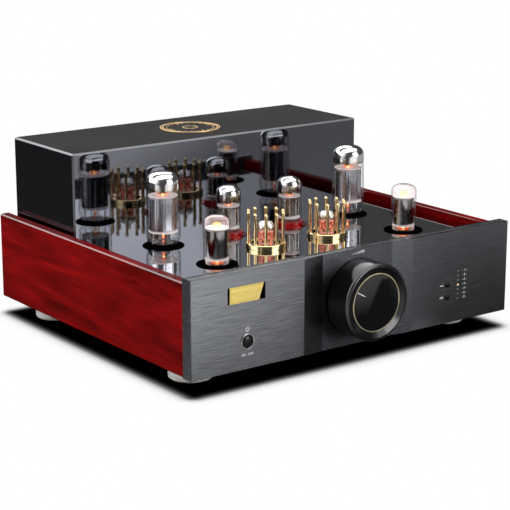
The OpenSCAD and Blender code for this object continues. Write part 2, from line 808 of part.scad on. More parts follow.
module cage_post() {
    ball_z = cage_h - post_ball_r;
    rod_z(post_r, cage_ring_h, ball_z, 32);
    rod_z(collar_r, cage_ring_h, cage_ring_h + collar_h, 32);
    translate([0, 0, ball_z]) sphere(r = post_ball_r, $fn = 32);
    rod_z(post_ball_r, ball_z - 2.4, ball_z, 32);
}

module cage_posts() color(gold) in_case() for (at = mirrored(input_at))
    translate([at[0], at[1], deck_z]) for (i = [0:cage_n - 1])
        rotate(180 / cage_n + 360 * i / cage_n) translate([cage_post_circle, 0, 0]) cage_post();

// ---------------------------------------------------------------- tubes

// Profile of a glass envelope: flat foot of radius r0 at z0, belly r1 at z1, shoulder r2 at z2,
// dome to the top z3; off is the inward offset of the profile
function envelope(r0, z0, r1, z1, r2, z2, z3, off, n = 8, dome_n = 12) = concat(
    [[0, z0 + off]],
    [for (i = [0:n]) [r0 - off + (r1 - r0) * sin(90 * i / n),
        z0 + off + (z1 - z0 - off) * (1 - cos(90 * i / n))]],
    [for (i = [0:dome_n]) [(r2 - off) * pow(cos(90 * i / dome_n), 2 / dome_square),
        z2 + (z3 - off - z2) * pow(sin(90 * i / dome_n), 2 / dome_square)]]);

module glass(r0, z0, r1, z1, r2, z2, z3) rotate_extrude($fn = 96) difference() {
    polygon(envelope(r0, z0, r1, z1, r2, z2, z3, 0));
    polygon(envelope(r0, z0, r1, z1, r2, z2, z3, glass_t));
}

// Base with eight pins and the guide key below it
module octal_base(r, top) {
    rod_z(r, base_low, top);
    pin_circle(8, 0, octal_circle_r) rod_z(octal_pin_r, base_low - octal_pin_l, base_low + 0.1, 20);
    rod_z(key_r, base_low - key_l, base_low + 0.1, 32);
}

// Electrode stack: two mica discs at the given heights on rods, with a plate of half width
// plate[0] and half depth plate[1] between them
module electrodes(foot, micas, mica_r, plate) {
    rod_top = micas[1] + 2;
    for (s = [-1, 1]) translate([s * (plate[0] - 2), 0, 0]) rod_z(rod_r, foot, rod_top, 16);
    for (s = [-1, 1]) translate([0, s * plate[1] / 2, 0]) rod_z(rod_r, micas[0], rod_top, 16);
    for (z = micas) rod_z(mica_r, z, z + mica_t, 64);
    translate([0, 0, micas[0] + 2]) linear_extrude(micas[1] - micas[0] - 4) {
        square([2 * (plate[0] - plate[1]), 2 * plate[1]], center = true);
        for (s = [-1, 1]) translate([s * (plate[0] - plate[1]), 0]) circle(r = plate[1], $fn = 32);
    }
}

module put(at, side) in_case() translate([side * at[0], at[1], deck_z]) children();

module power_glass(side) color(clear) put(power_at, side)
    glass(13.5, power_base_h, power_low_r, 14.5, power_top_r, power_h - 12, power_h);
module power_core(side) color(steel) put(power_at, side) {
    octal_base(power_base_r, power_base_h);
    electrodes(power_base_h + glass_t, power_micas, power_top_r - glass_t - 2 * mica_gap, power_plate);
}

module driver_glass(side) color(clear) put(driver_at, side)
    glass(11.5, driver_base_h, driver_r, driver_base_h + 3, driver_r, driver_h - 11, driver_h);
module driver_core(side) color(steel) put(driver_at, side) {
    octal_base(small_base_r, driver_base_h);
    electrodes(driver_base_h + glass_t, driver_micas, driver_r - glass_t - mica_gap, driver_plate);
}

module rectifier_glass(side) color(clear) put(rectifier_at, side)
    glass(12.5, rectifier_base_h, rectifier_r, 5, rectifier_r, rectifier_h - 9, rectifier_h);
module rectifier_core(side) color(steel) put(rectifier_at, side) {
    octal_base(small_base_r, rectifier_base_h);
    electrodes(rectifier_base_h + glass_t, rectifier_micas,
        rectifier_r - glass_t - mica_gap, rectifier_plate);
}

module input_glass(side) color(clear) put(input_at, side)
    glass(8, mini_glass_low, input_r, 4, input_r, input_h - 7, input_h);
module input_core(side) color(steel) put(input_at, side) {
    pin_circle(7, 2, mini_circle_r) rod_z(mini_pin_r, mini_glass_low - mini_pin_l, mini_glass_low, 20);
    electrodes(mini_glass_low + glass_t, input_micas, input_r - glass_t - mica_gap, input_plate);
}

module power_tube_left_glass() power_glass(-1);
module power_tube_left_core() power_core(-1);
module power_tube_right_glass() power_glass(1);
module power_tube_right_core() power_core(1);
module driver_tube_left_glass() driver_glass(-1);
module driver_tube_left_core() driver_core(-1);
module driver_tube_right_glass() driver_glass(1);
module driver_tube_right_core() driver_core(1);
module rectifier_tube_left_glass() rectifier_glass(-1);
module rectifier_tube_left_core() rectifier_core(-1);
module rectifier_tube_right_glass() rectifier_glass(1);
module rectifier_tube_right_core() rectifier_core(1);
module input_tube_left_glass() input_glass(-1);
module input_tube_left_core() input_core(-1);
module input_tube_right_glass() input_glass(1);
module input_tube_right_core() input_core(1);

// ---------------------------------------------------------------- cover and transformers

// Block of width w, depth d and height h with its upright and top edges chamfered by e
module chamfered_block(w, d, h, e) intersection() {
    linear_extrude(h) polygon([[-w / 2, -d / 2 + e], [-w / 2 + e, -d / 2], [w / 2 - e, -d / 2],
        [w / 2, -d / 2 + e], [w / 2, d / 2 - e], [w / 2 - e, d / 2],
        [-w / 2 + e, d / 2], [-w / 2, d / 2 - e]]);
    translate([0, d / 2, 0]) rotate([90, 0, 0]) linear_extrude(d) polygon([
        [-w / 2, 0], [w / 2, 0], [w / 2, h - e], [w / 2 - e, h], [-w / 2 + e, h], [-w / 2, h - e]]);
    translate([-w / 2, 0, 0]) rotate([90, 0, 90]) linear_extrude(w) polygon([
        [-d / 2, 0], [d / 2, 0], [d / 2, h - e], [d / 2 - e, h], [-d / 2 + e, h], [-d / 2, h - e]]);
}

tab_w = 12;
tab_in = 30;
tab_xs = [-cover_w / 2 + tab_in, cover_w / 2 - tab_in];
tab_y = cover_d / 2 - cover_wall - tab_w / 2;

module transformer_cover() color(black) in_case() translate([0, cover_y, deck_z]) {
    difference() {
        chamfered_block(cover_w, cover_d, cover_h, cover_edge);
        box([-cover_w / 2 + cover_wall, -cover_d / 2 + cover_wall, -over],
            [cover_w / 2 - cover_wall, cover_d / 2 - cover_wall, cover_h - cover_wall]);
    }
    for (x = tab_xs, s = [-1, 1]) translate([x, s * tab_y, 0]) difference() {
        box([-10, -tab_w / 2 - 0.2, 0], [10, tab_w / 2 + 0.2, 4]);
        rod_z(screw_r + screw_gap, -over, 4 + over, 24);
    }
}

module cover_badge() color(gold) in_case() translate([0, cover_y, deck_z + cover_h])
    for (r = [badge_r, badge_r - badge_band - badge_gap]) linear_extrude(badge_h) difference() {
        circle(r = r, $fn = 120);
        circle(r = r - badge_band, $fn = 120);
    }

// Laminated core of width w: a centre leg of w / 3 between two windows of w / 6 by w / 2
module core(w, stack) difference() {
    box([-w / 2, -stack / 2, 0], [w / 2, stack / 2, w * 5 / 6]);
    for (s = [-1, 1]) translate([s * w / 4, 0, 0])
        box([-w / 12, -stack, w / 6], [w / 12, stack, w * 2 / 3]);
}

module coil(w, stack) difference() {
    gap = 0.3;
    out = w / 3 - gap;
    deep = stack / 2 + w / 6 - gap;
    box([-out, -deep, w / 6 + gap], [out, deep, w * 2 / 3 - gap]);
    box([-w / 6 - gap, -stack / 2 - gap, 0], [w / 6 + gap, stack / 2 + gap, w]);
}

module transformers(part) in_case() {
    translate([0, cover_y, deck_z]) {
        if (part == "core") core(mains_core_w, mains_stack);
        if (part == "coil") coil(mains_core_w, mains_stack);
        both_sides() translate([output_x, 0, 0]) {
            if (part == "core") core(output_core_w, output_stack);
            if (part == "coil") coil(output_core_w, output_stack);
        }
    }
}

module transformer_cores() color([0.25, 0.25, 0.27]) transformers("core");
module transformer_coils() color([0.72, 0.42, 0.20]) transformers("coil");

// ---------------------------------------------------------------- feet

module foot() difference() {
    rotate_extrude($fn = 96) polygon(concat([[0, base_z]], [[foot_r - 0.5, base_z], [foot_r, base_z - 0.5]],
        [for (i = [0:8]) [foot_r - foot_round + foot_round * cos(90 * i / 8),
            pad_out + foot_round - foot_round * sin(90 * i / 8)]], [[0, pad_out]]));
    rod_z(pad_r + 0.05, 0, pad_t);
    rod_z(foot_head_r + 0.2, 0, pad_t + 5);
    rod_z(foot_screw_r + screw_gap, 0, base_z + over);
}

foot_places = [for (x = [-foot_x, foot_x], y = [foot_front, foot_back_y]) [x, y]];

module feet() color(silver) in_case() for (p = foot_places) translate([p[0], p[1], 0]) foot();

module foot_pads() color([0.05, 0.05, 0.05]) in_case() for (p = foot_places)
    translate([p[0], p[1], 0]) rod_z(pad_r, 0, pad_t);

// ---------------------------------------------------------------- rear connectors

jack_places = [for (i = [0:jack_n - 1], s = [-1, 1])
    [jack_first + i * jack_pitch, rear_z + s * jack_rise / 2]];

module signal_jacks() color(gold) in_case() for (p = jack_places) translate([p[0], 0, p[1]]) difference() {
    union() {
        rod_y(jack_r, back_in - jack_in_l, case_d + jack_out, 40);
        translate([0, case_d + washer_t + 2.2, 0]) rotate([90, 0, 0])
            cylinder(r = jack_flange_r, h = 2.2, $fn = 6);
        rod_y(jack_flange_r, back_in - 2, back_in, 40);
    }
    rod_y(jack_r - 0.9, case_d - 1, case_d + jack_out + over, 40);
}

module jack_insulators() color(ivory) in_case() for (p = jack_places) translate([p[0], 0, p[1]]) {
    difference() {
        rod_y(jack_flange_r + 0.8, case_d, case_d + washer_t, 40);
        rod_y(jack_r + 0.1, case_d - over, case_d + washer_t + over, 40);
    }
    difference() {
        rod_y(jack_r - 1, case_d - 0.9, case_d + jack_out - 0.6, 40);
        rod_y(1.6, case_d, case_d + jack_out, 24);
    }
}

module mains_inlet() color(black) in_case() translate([-inlet_x, 0, 0]) {
    difference() {
        union() {
            box([-inlet_w / 2, case_d, rear_z - inlet_h / 2],
                [inlet_w / 2, case_d + inlet_t, rear_z + inlet_h / 2]);
            box([-inlet_body_w / 2, case_d - inlet_deep, rear_z - inlet_body_h / 2],
                [inlet_body_w / 2, case_d + 0.1, rear_z + inlet_body_h / 2]);
        }
        box([-plug_w / 2, case_d + inlet_t - plug_deep, plug_z - plug_h / 2],
            [plug_w / 2, case_d + inlet_t + over, plug_z + plug_h / 2]);
        box([-fuse_w / 2 - fuse_gap, case_d + inlet_t - fuse_deep - 1, fuse_z - fuse_h / 2 - fuse_gap],
            [fuse_w / 2 + fuse_gap, case_d + inlet_t + over, fuse_z + fuse_h / 2 + fuse_gap]);
    }
    for (p = blades) translate([p[0], 0, plug_z + p[1]])
        box([-blade_w / 2, case_d + inlet_t - plug_deep - 0.5, -blade_h / 2],
            [blade_w / 2, case_d + inlet_t - blade_in, blade_h / 2]);
}

module fuse_drawer() color(black) in_case() translate([-inlet_x, case_d + inlet_t, fuse_z]) {
    box([-fuse_w / 2, -fuse_deep, -fuse_h / 2], [fuse_w / 2, 0.1, fuse_h / 2]);
    box([-fuse_w / 2 - fuse_lip, 0.05, -fuse_h / 2 - fuse_lip],
        [fuse_w / 2 + fuse_lip, fuse_lip_t, fuse_h / 2 + fuse_lip]);
}

module speaker_posts() color(gold) in_case() for (x = speaker_xs) translate([x, 0, rear_z]) difference() {
    union() {
        rod_y(speaker_cap_r + 0.6, case_d, case_d + speaker_collar_t);
        rod_y(speaker_neck_r, back_in - speaker_nut_t, case_d + 1);
        rod_y(speaker_cap_r, back_in - speaker_nut_t, back_in);
        rod_y(stud_r, back_in - jack_in_l, cap_back - 4);
    }
    rod_y(speaker_hole_r, cap_front, cap_back, 32);
}

module speaker_cap(x) color(black) in_case() translate([x, 0, rear_z]) difference() {
    rod_y(speaker_cap_r, cap_front, cap_back);
    rod_y(stud_r + run_gap, cap_front - over, cap_back - 3);
    rod_y(2.3, cap_back - 3 - over, cap_back + over, 32);
    for (i = [0:11]) rotate([0, 30 * i, 0]) translate([speaker_cap_r + 0.35, 0, 0])
        rod_y(1, cap_front + 2, cap_back + over, 16);
}

module speaker_cap_1() speaker_cap(speaker_xs[0]);
module speaker_cap_2() speaker_cap(speaker_xs[1]);
module speaker_cap_3() speaker_cap(speaker_xs[2]);
module speaker_cap_4() speaker_cap(speaker_xs[3]);

// ---------------------------------------------------------------- screws

side_screw_ys = [60, case_d / 2, case_d - 60];
side_screw_zs = [base_z + 30, deck_under - 24];
front_screw_xs = [23.5 - wall_x, -100, 100, wall_x - 23.5];
front_screw_zs = [base_z + 18, deck_under - 15];
rear_screw_xs = [8.5 - wall_x, (speaker_xs[0] - inlet_x) / 2, 60, wall_x - 8.5];
bottom_screw_in = [8, 90];
bottom_screw_xs = [-wall_x + bottom_screw_in[0], wall_x - bottom_screw_in[0]];
bottom_screw_ys = [panel_t + bottom_screw_in[1], case_d / 2, case_d - bottom_screw_in[1]];

// Each row: place of the head's underside, rotation, shank length
screw_rows = concat(
    [for (s = [-1, 1], y = side_screw_ys, z = side_screw_zs)
        [[s * (wall_x - sheet_t), y, z], [0, -s * 90, 0], sheet_t + 7]],
    [for (x = front_screw_xs, z = front_screw_zs) [[x, wall_in, z], [-90, 0, 0], sheet_t + 7]],
    [for (x = rear_screw_xs, z = [floor_in + 7, deck_under - 7])
        [[x, case_d, z], [-90, 0, 0], rear_t + sheet_t + 3]],
    [for (x = bottom_screw_xs, y = bottom_screw_ys) [[x, y, base_z], [180, 0, 0], bottom_t + sheet_t + 3]],
    [for (x = tab_xs, s = [-1, 1]) [[x, cover_y + s * tab_y, deck_under], [180, 0, 0], deck_t + 4]]);

module screw_cuts() {
    for (row = screw_rows) translate(row[0]) rotate(row[1])
        rod_z(screw_r + screw_gap, -row[2] - 0.5, 0.01, 24);
    for (p = foot_places) translate([p[0], p[1], 0])
        rod_z(foot_screw_r + screw_gap, base_z - 1, floor_in + over, 24);
}

module case_screws() color(steel) in_case() {
    for (row = screw_rows) translate(row[0]) rotate(row[1]) screw(screw_r, row[2], head_r, head_t);
    for (p = foot_places) translate([p[0], p[1], pad_t + 5]) rotate([180, 0, 0])
        screw(foot_screw_r, floor_in + 4 - pad_t - 5, foot_head_r, 3);
}

// ---------------------------------------------------------------- wiring

wire_r = 1.6;
coil_front = cover_y - mains_stack / 2 - mains_core_w / 12;
output_front = cover_y - output_stack / 2 - output_core_w / 12;
lead_wires = [
    [[0, coil_front, main_top], [0, coil_front, deck_z + mains_core_w / 6 + 0.3]],
    [[-output_x, output_front, main_top], [-output_x, output_front, deck_z + output_core_w / 6 + 0.3]],
    [[output_x, output_front, main_top], [output_x, output_front, deck_z + output_core_w / 6 + 0.3]]];
inside_wires = [
    [[led_x - 5, board_y + board_t, small_high], [led_x - 5, main_front + 15, small_high],
        [led_x - 5, main_front + 15, main_top]],
    [[-power_x, switch_front + switch_l, power_z + 6], [-power_x, main_front + 22, power_z + 6],
        [-power_x, main_front + 22, main_top]],
    [[0, wall_in + pot_l, knob_z], [0, main_front + 18, knob_z], [0, main_front + 18, main_top]],
    [[-inlet_x + 8, case_d - inlet_deep, rear_z], [-inlet_x + 8, main_back - 14, rear_z],
        [-inlet_x + 8, main_back - 14, main_top]],
    [[jack_places[2][0], back_in - jack_in_l, jack_places[3][1]],
        [jack_places[2][0], main_back - 20, jack_places[3][1]],
        [jack_places[2][0], main_back - 20, main_top]],
    [[speaker_xs[1], back_in - jack_in_l, rear_z], [speaker_xs[1], main_back - 16, rear_z],
        [speaker_xs[1], main_back - 16, main_top]]];

// A round wire from point to point along the axes, with a ball at each bend
module wire(points) {
    for (i = [0:len(points) - 2]) {
        a = points[i];
        d = points[i + 1] - a;
        l = norm(d);
        translate(a) rotate([0, acos(d[2] / l), atan2(d[1], d[0])]) cylinder(r = wire_r, h = l, $fn = 20);
    }
    for (i = [1:1:len(points) - 2]) translate(points[i]) sphere(r = wire_r, $fn = 20);
}

module wire_harness() color([0.55, 0.12, 0.10]) in_case() for (w = concat(lead_wires, inside_wires)) wire(w);

// ---------------------------------------------------------------- nodes

chassis_tray();
bottom_plate();
top_deck();
rear_panel();
front_panel();
side_panel_left();
side_panel_right();
transformer_cover();
cover_badge();
name_plate();
feet();
foot_pads();
volume_pot();
power_bezel();
switches();
front_board();
indicator_lights();
main_board();
board_standoffs();
capacitors();
tube_sockets();
socket_rings();
cage_rings();
cage_posts();
transformer_cores();
transformer_coils();
signal_jacks();
jack_insulators();
mains_inlet();
speaker_posts();
case_screws();
wire_harness();
knob_body();
knob_ring();
knob_disc();
pot_shaft();
power_button();
upper_button();
lower_button();
fuse_drawer();
speaker_cap_1();
speaker_cap_2();
speaker_cap_3();
speaker_cap_4();
power_tube_left_glass();
power_tube_left_core();
power_tube_right_glass();
power_tube_right_core();
driver_tube_left_glass();
driver_tube_left_core();
driver_tube_right_glass();
driver_tube_right_core();
rectifier_tube_left_glass();
rectifier_tube_left_core();
rectifier_tube_right_glass();
rectifier_tube_right_core();
input_tube_left_glass();
input_tube_left_core();
input_tube_right_glass();
input_tube_right_core();
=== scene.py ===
"""Looks of the tube amplifier around its CAD frame: materials, the insides of the tubes, generic
marks, floor, light and camera. Lengths named in millimetres are turned to metres by MM."""
import math

import bmesh
import bpy
from mathutils import Matrix, Vector


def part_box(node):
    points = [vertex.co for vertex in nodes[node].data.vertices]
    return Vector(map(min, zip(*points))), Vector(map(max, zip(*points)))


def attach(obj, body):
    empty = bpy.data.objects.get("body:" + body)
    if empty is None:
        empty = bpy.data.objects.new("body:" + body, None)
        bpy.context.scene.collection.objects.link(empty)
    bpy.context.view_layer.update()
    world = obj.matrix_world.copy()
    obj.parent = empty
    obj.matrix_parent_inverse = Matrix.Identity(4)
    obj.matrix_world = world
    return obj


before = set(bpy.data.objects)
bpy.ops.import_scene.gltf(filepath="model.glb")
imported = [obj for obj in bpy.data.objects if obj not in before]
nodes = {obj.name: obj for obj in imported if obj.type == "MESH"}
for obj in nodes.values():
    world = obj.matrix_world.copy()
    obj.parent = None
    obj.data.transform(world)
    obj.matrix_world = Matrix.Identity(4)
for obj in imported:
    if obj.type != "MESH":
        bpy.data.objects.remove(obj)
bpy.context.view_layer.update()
MM = 0.001
OWN = "amplifier"
SIDES = ("left", "right")
EYE_RAYS = ("Is Camera Ray", "Is Transmission Ray")
look = {}


# ------------------------------------------------------------------ node materials

class Nodes:
    """Short ways to add and link shader nodes in one tree."""

    def __init__(self, tree):
        self.tree = tree
        self.tree.nodes.clear()

    def add(self, kind, **props):
        node = self.tree.nodes.new(kind)
        for key, value in props.items():
            setattr(node, key, value)
        return node

    def link(self, a, b):
        self.tree.links.new(a, b)

    def math(self, kind, result, *others):
        """One operation on sockets or numbers. With more than two of them it goes on from left to right."""
        for other in others or (0.0,):
            node = self.add("ShaderNodeMath", operation=kind)
            for socket, value in zip(node.inputs, (result, other)):
                if isinstance(value, (int, float)):
                    socket.default_value = value
                else:
                    self.link(value, socket)
            result = node.outputs[0]
        return result

    def spread(self, value, low, high, start=0.3, end=0.7):
        """Goes from low to high as the value goes from start to end, and is level beyond both."""
        node = self.add("ShaderNodeMapRange")
        for socket, number in zip(("From Min", "From Max", "To Min", "To Max"), (start, end, low, high)):
            node.inputs[socket].default_value = number
        self.link(value, node.inputs["Value"])
        return node.outputs[0]

    def split(self, vector):
        node = self.add("ShaderNodeSeparateXYZ")
        self.link(vector, node.inputs[0])
        return node.outputs

    def rays(self, *kinds):
        """1 for a ray of any of these kinds."""
        path = self.add("ShaderNodeLightPath")
        return self.math("MAXIMUM", *(path.outputs[kind] for kind in kinds))

    def mix(self, share, a, b):
        node = self.add("ShaderNodeMixShader")
        self.link(share, node.inputs[0])
        self.link(a, node.inputs[1])
        self.link(b, node.inputs[2])
        return node.outputs[0]


class Finish(Nodes):
    """A node material being built round one Principled shader, and kept in look under its name."""

    def __init__(self, name, **sockets):
        look[name] = bpy.data.materials.new(name)
        look[name].use_nodes = True
        super().__init__(look[name].node_tree)
        self.out = self.add("ShaderNodeOutputMaterial")
        self.bsdf = self.add("ShaderNodeBsdfPrincipled")
        self.link(self.bsdf.outputs[0], self.out.inputs[0])
        for socket, value in sockets.items():
            self.bsdf.inputs[socket.replace("_", " ")].default_value = value

    def coords(self, scale=(1, 1, 1)):
        place = self.add("ShaderNodeTexCoord")
        mapping = self.add("ShaderNodeMapping")
        mapping.inputs["Scale"].default_value = scale
        self.link(place.outputs["Object"], mapping.inputs["Vector"])
        return mapping.outputs[0]

    def noise(self, scale, detail=3.0, distort=0.0):
        node = self.add("ShaderNodeTexNoise")
        node.inputs["Scale"].default_value = 1.0
        node.inputs["Detail"].default_value = detail
        node.inputs["Distortion"].default_value = distort
        self.link(self.coords(scale), node.inputs["Vector"])
        return node.outputs[0]

    def ramp(self, value, *stops):
        node = self.add("ShaderNodeValToRGB")
        ramp = node.color_ramp
        while len(ramp.elements) < len(stops):
            ramp.elements.new(0.5)
        for element, (place, color) in zip(ramp.elements, stops):
            element.position = place
            element.color = (*color, 1)
        self.link(value, node.inputs[0])
        return node.outputs[0]

    def bump(self, height, distance):
        node = self.add("ShaderNodeBump")
        node.inputs["Distance"].default_value = distance * MM
        self.link(height, node.inputs["Height"])
        self.link(node.outputs[0], self.bsdf.inputs["Normal"])

    def facing(self):
        """0 where a surface faces the eye and 1 at its rim."""
        return self.add("ShaderNodeLayerWeight").outputs["Facing"]

    def see_through(self, share):
        """Mixes in a Transparent shader: share is 1 where the surface is solid."""
        clear = self.add("ShaderNodeBsdfTransparent")
        self.link(self.mix(share, clear.outputs[0], self.bsdf.outputs[0]), self.out.inputs[0])


def shades(color, vary):
    """A darker and a lighter shade of a colour."""
    return [tuple(min(c * k, 1.0) for c in color) for k in (1 - vary, 1 + vary)]


def surface(name, color, rough, metal, grain, vary=0.06, uneven=0.03, bump=0.0, **sockets):
    """A plain finish whose colour and roughness vary a little along a stretched grain."""
    made = Finish(name, Metallic=metal, **sockets)
    noise = made.noise(grain)
    dark, light = shades(color, vary)
    made.link(made.ramp(noise, (0.32, dark), (0.68, light)), made.bsdf.inputs["Base Color"])
    made.link(made.spread(noise, rough - uneven, rough + uneven), made.bsdf.inputs["Roughness"])
    if bump:
        made.bump(noise, bump)


def wood(name, coat, coat_ior):
    """Red lacquer over dark straight grain that runs front to back."""
    made = Finish(name, Specular_IOR_Level=0.02, Coat_Weight=coat, Coat_Roughness=0.05, Coat_IOR=coat_ior)
    broad = made.noise((30, 7, 38), 2.5, 1.0)
    fine = made.noise((300, 16, 360), 4.0, 0.5)
    both = made.math("ADD", made.math("MULTIPLY", broad, 0.66), made.math("MULTIPLY", fine, 0.34))
    color = made.ramp(both, (0.34, (0.065, 0.0006, 0.0006)), (0.44, (0.12, 0.0009, 0.001)),
                      (0.55, (0.178, 0.0012, 0.0015)), (0.67, (0.272, 0.002, 0.003)))
    made.link(color, made.bsdf.inputs["Base Color"])
    made.link(made.spread(fine, 0.34, 0.46), made.bsdf.inputs["Roughness"])
    made.bump(fine, 0.02)


def dark_mirror():
    """Polished black: it mirrors little from above, and more the lower the eye is."""
    made = Finish("deck_mirror", Metallic=1.0)
    color = made.ramp(made.facing(), (0.0, (0.085, 0.086, 0.09)), (0.42, (0.13, 0.131, 0.138)),
                      (0.74, (0.43, 0.435, 0.455)), (1.0, (0.60, 0.60, 0.62)))
    made.link(color, made.bsdf.inputs["Base Color"])
    made.link(made.spread(made.noise((14, 14, 14)), 0.014, 0.026), made.bsdf.inputs["Roughness"])


def glass():
    """Thin clear glass: what is behind shows straight through, and the rim is darker and mirrors more."""
    made = Finish("glass")
    mirror = made.add("ShaderNodeBsdfGlossy")
    mirror.inputs["Roughness"].default_value = 0.02
    clear = made.add("ShaderNodeBsdfTransparent")
    facing = made.facing()
    tint = made.ramp(facing, (0.72, (0.975, 0.98, 0.985)), (0.95, (0.30, 0.31, 0.33)))
    made.link(tint, clear.inputs["Color"])
    rim = made.math("MULTIPLY", made.math("POWER", facing, 4.0), 0.45)
    share = made.math("ADD", rim, 0.035)
    made.link(made.mix(share, clear.outputs[0], mirror.outputs[0]), made.out.inputs[0])
    made.tree.nodes.remove(made.bsdf)


def getter(name, edge, fade, brown, specks):
    """Mirror film inside a dome that thins out to brown and then to nothing at its lower edge. Edge and
    fade are heights in millimetres, and brown is where the light brown lies from dark brown to mirror."""
    made = Finish(name, Metallic=1.0)
    height = made.split(made.coords((1 / MM,) * 3))[2]
    rough_edge = made.math("ADD", height, made.spread(made.noise((160, 160, 60)), -fade, fade))
    share = made.spread(rough_edge, 0.0, 1.0, edge, edge + fade)
    color = made.ramp(made.spread(rough_edge, 0.0, 1.0, edge, edge + 3 * fade),
                      (0.0, (0.20, 0.09, 0.04)), (brown, (0.55, 0.43, 0.29)), (1.0, (0.92, 0.91, 0.89)))
    made.link(color, made.bsdf.inputs["Base Color"])
    made.link(made.spread(made.noise((90, 90, 90)), 0.08, 0.15), made.bsdf.inputs["Roughness"])
    if specks:
        made.bump(made.noise((520, 520, 520), 1.0), specks)
    made.see_through(share)


def glow(name, color, strength):
    """A heated part: its own colour plus the light that it gives off, uneven over its length."""
    made = Finish(name, Roughness=0.5)
    made.bsdf.inputs["Emission Strength"].default_value = strength
    dark, light = shades(color, 0.35)
    shade = made.ramp(made.noise((260, 260, 120)), (0.3, dark), (0.7, light))
    made.link(shade, made.bsdf.inputs["Base Color"])
    made.link(shade, made.bsdf.inputs["Emission Color"])


def haze(name, dark, light, strength, middle, edge, grain=(70, 70, 70)):
    """A glowing veil inside the glass, patchy between two colours. It is as solid as middle where it
    faces the eye and as edge at its rim."""
    made = Finish(name, Roughness=0.6, Specular_IOR_Level=0.2)
    patches = made.noise(grain, 2.0)
    color = made.ramp(patches, (0.36, dark), (0.64, light))
    made.link(color, made.bsdf.inputs["Base Color"])
    made.link(color, made.bsdf.inputs["Emission Color"])
    made.bsdf.inputs["Emission Strength"].default_value = strength
    solid = made.spread(made.facing(), middle, edge, 0.1, 0.9)
    made.see_through(made.math("MULTIPLY", solid, made.spread(patches, 0.7, 1.0)))


def turned(name, shade):
    """Dark metal turned on a lathe, so that its highlights run out from its middle."""
    made = Finish(name, Metallic=1.0, Anisotropic=0.9)
    made.bsdf.inputs["Base Color"].default_value = (shade, shade, shade * 1.03, 1)
    made.link(made.spread(made.noise((60, 60, 60)), 0.20, 0.26), made.bsdf.inputs["Roughness"])
    tangent = made.add("ShaderNodeTangent", direction_type="RADIAL", axis="Y")
    made.link(tangent.outputs[0], made.bsdf.inputs["Tangent"])


BRUSHED = {"Anisotropic": 0.85, "Anisotropic_Rotation": 0.25}
# A surface has its colour, roughness, metal and grain, then how much the colour and the roughness vary,
# and the height of its bumps in millimetres.
surface("panel_metal", (0.195, 0.202, 0.216), 0.24, 1.0, (45, 60, 1000), 0.13, 0.03, 0.002, **BRUSHED)
# Darker copy of the panel metal for the dish's floor: painted shade in the recess behind the knob.
surface("panel_dish_painted_shade", (0.135, 0.14, 0.153), 0.26, 1.0, (45, 60, 800), 0.07, 0.02, 0.001, **BRUSHED)
# Darker still, for the dish's left-facing slope and the panel's top face: painted shade.
surface("panel_painted_shade", (0.085, 0.089, 0.098), 0.26, 1.0, (45, 60, 800), 0.07, 0.02, 0.001, **BRUSHED)
# Darker, rougher copy of the panel metal for the rim chamfers, toned down so that their edge line stays
# faint: painted shade.
surface("panel_bevel_painted_shade", (0.125, 0.128, 0.136), 0.34, 1.0, (5, 60, 900), 0.06)
surface("sheet_steel", (0.46, 0.47, 0.48), 0.34, 1.0, (40, 40, 40), 0.05)
surface("plate_steel", (0.024, 0.024, 0.026), 0.42, 0.0, (900, 900, 900), 0.25, 0.06, 0.03)
dark_mirror()
surface("cover_mirror", (0.149, 0.154, 0.175), 0.035, 1.0, (14, 14, 14), 0.04, 0.008)
surface("cover_top", (0.038, 0.0355, 0.0365), 0.10, 0.0, (14, 14, 14), 0.06, 0.02)
# Lighter, rougher copy of the cover's metal for its chamfers, so that they show a bright edge line from any
# side: painted highlight.
surface("cover_bevel_painted_highlight", (0.18, 0.185, 0.195), 0.34, 1.0, (60, 60, 60), 0.05)
wood("wood", 0.04, 1.5)
wood("wood_edge", 1.0, 1.6)
surface("gold", (1.0, 0.77, 0.42), 0.12, 1.0, (300, 300, 300), 0.05, 0.03)
surface("ring_gold", (1.0, 0.87, 0.55), 0.30, 1.0, (300, 300, 300), 0.05, 0.03)
surface("satin_gold", (0.95, 0.66, 0.32), 0.42, 1.0, (500, 500, 500), 0.08, 0.06, 0.01)
surface("plate_gold", (0.85, 0.65, 0.20), 0.30, 1.0, (8, 60, 1400), 0.10, 0.05, 0.003)
# The feet's own pale silver, but mostly not metal, so that it shows as bright as chrome mirroring a white
# room would: painted reflection.
surface("silver_painted_reflection", (0.88, 0.87, 0.82), 0.28, 0.12, (60, 60, 900), 0.05, 0.03)
surface("rubber", (0.012, 0.012, 0.012), 0.75, 0.0, (700, 700, 700), 0.2, 0.05, 0.02)
surface("black_plastic", (0.014, 0.014, 0.015), 0.38, 0.0, (900, 900, 900), 0.2, 0.05, 0.01)
surface("ring_black", (0.0015, 0.0015, 0.0015), 0.8, 0.0, (300, 300, 300), 0.2, 0.05, Specular_IOR_Level=0.0)
surface("ring_red", (0.40, 0.02, 0.02), 0.10, 1.0, (60, 60, 60), 0.1, 0.02)
surface("knob_black", (0.0045, 0.0045, 0.005), 0.14, 0.0, (40, 40, 40), 0.1, 0.03, Specular_IOR_Level=0.4)
surface("disc_black", (0.002, 0.002, 0.0022), 0.03, 0.0, (60, 60, 60), 0.1, 0.01, Specular_IOR_Level=1.0)
turned("turned_grey", 0.13)
surface("gloss_black", (0.004, 0.004, 0.0045), 0.10, 0.0, (60, 60, 60), 0.1, 0.02, Specular_IOR_Level=0.3)
surface("plain_steel", (0.52, 0.52, 0.53), 0.30, 1.0, (300, 300, 300), 0.08)
surface("circuit_board", (0.02, 0.11, 0.045), 0.45, 0.0, (300, 300, 300), 0.2)
surface("capacitor", (0.02, 0.03, 0.10), 0.32, 0.0, (80, 80, 80), 0.1)
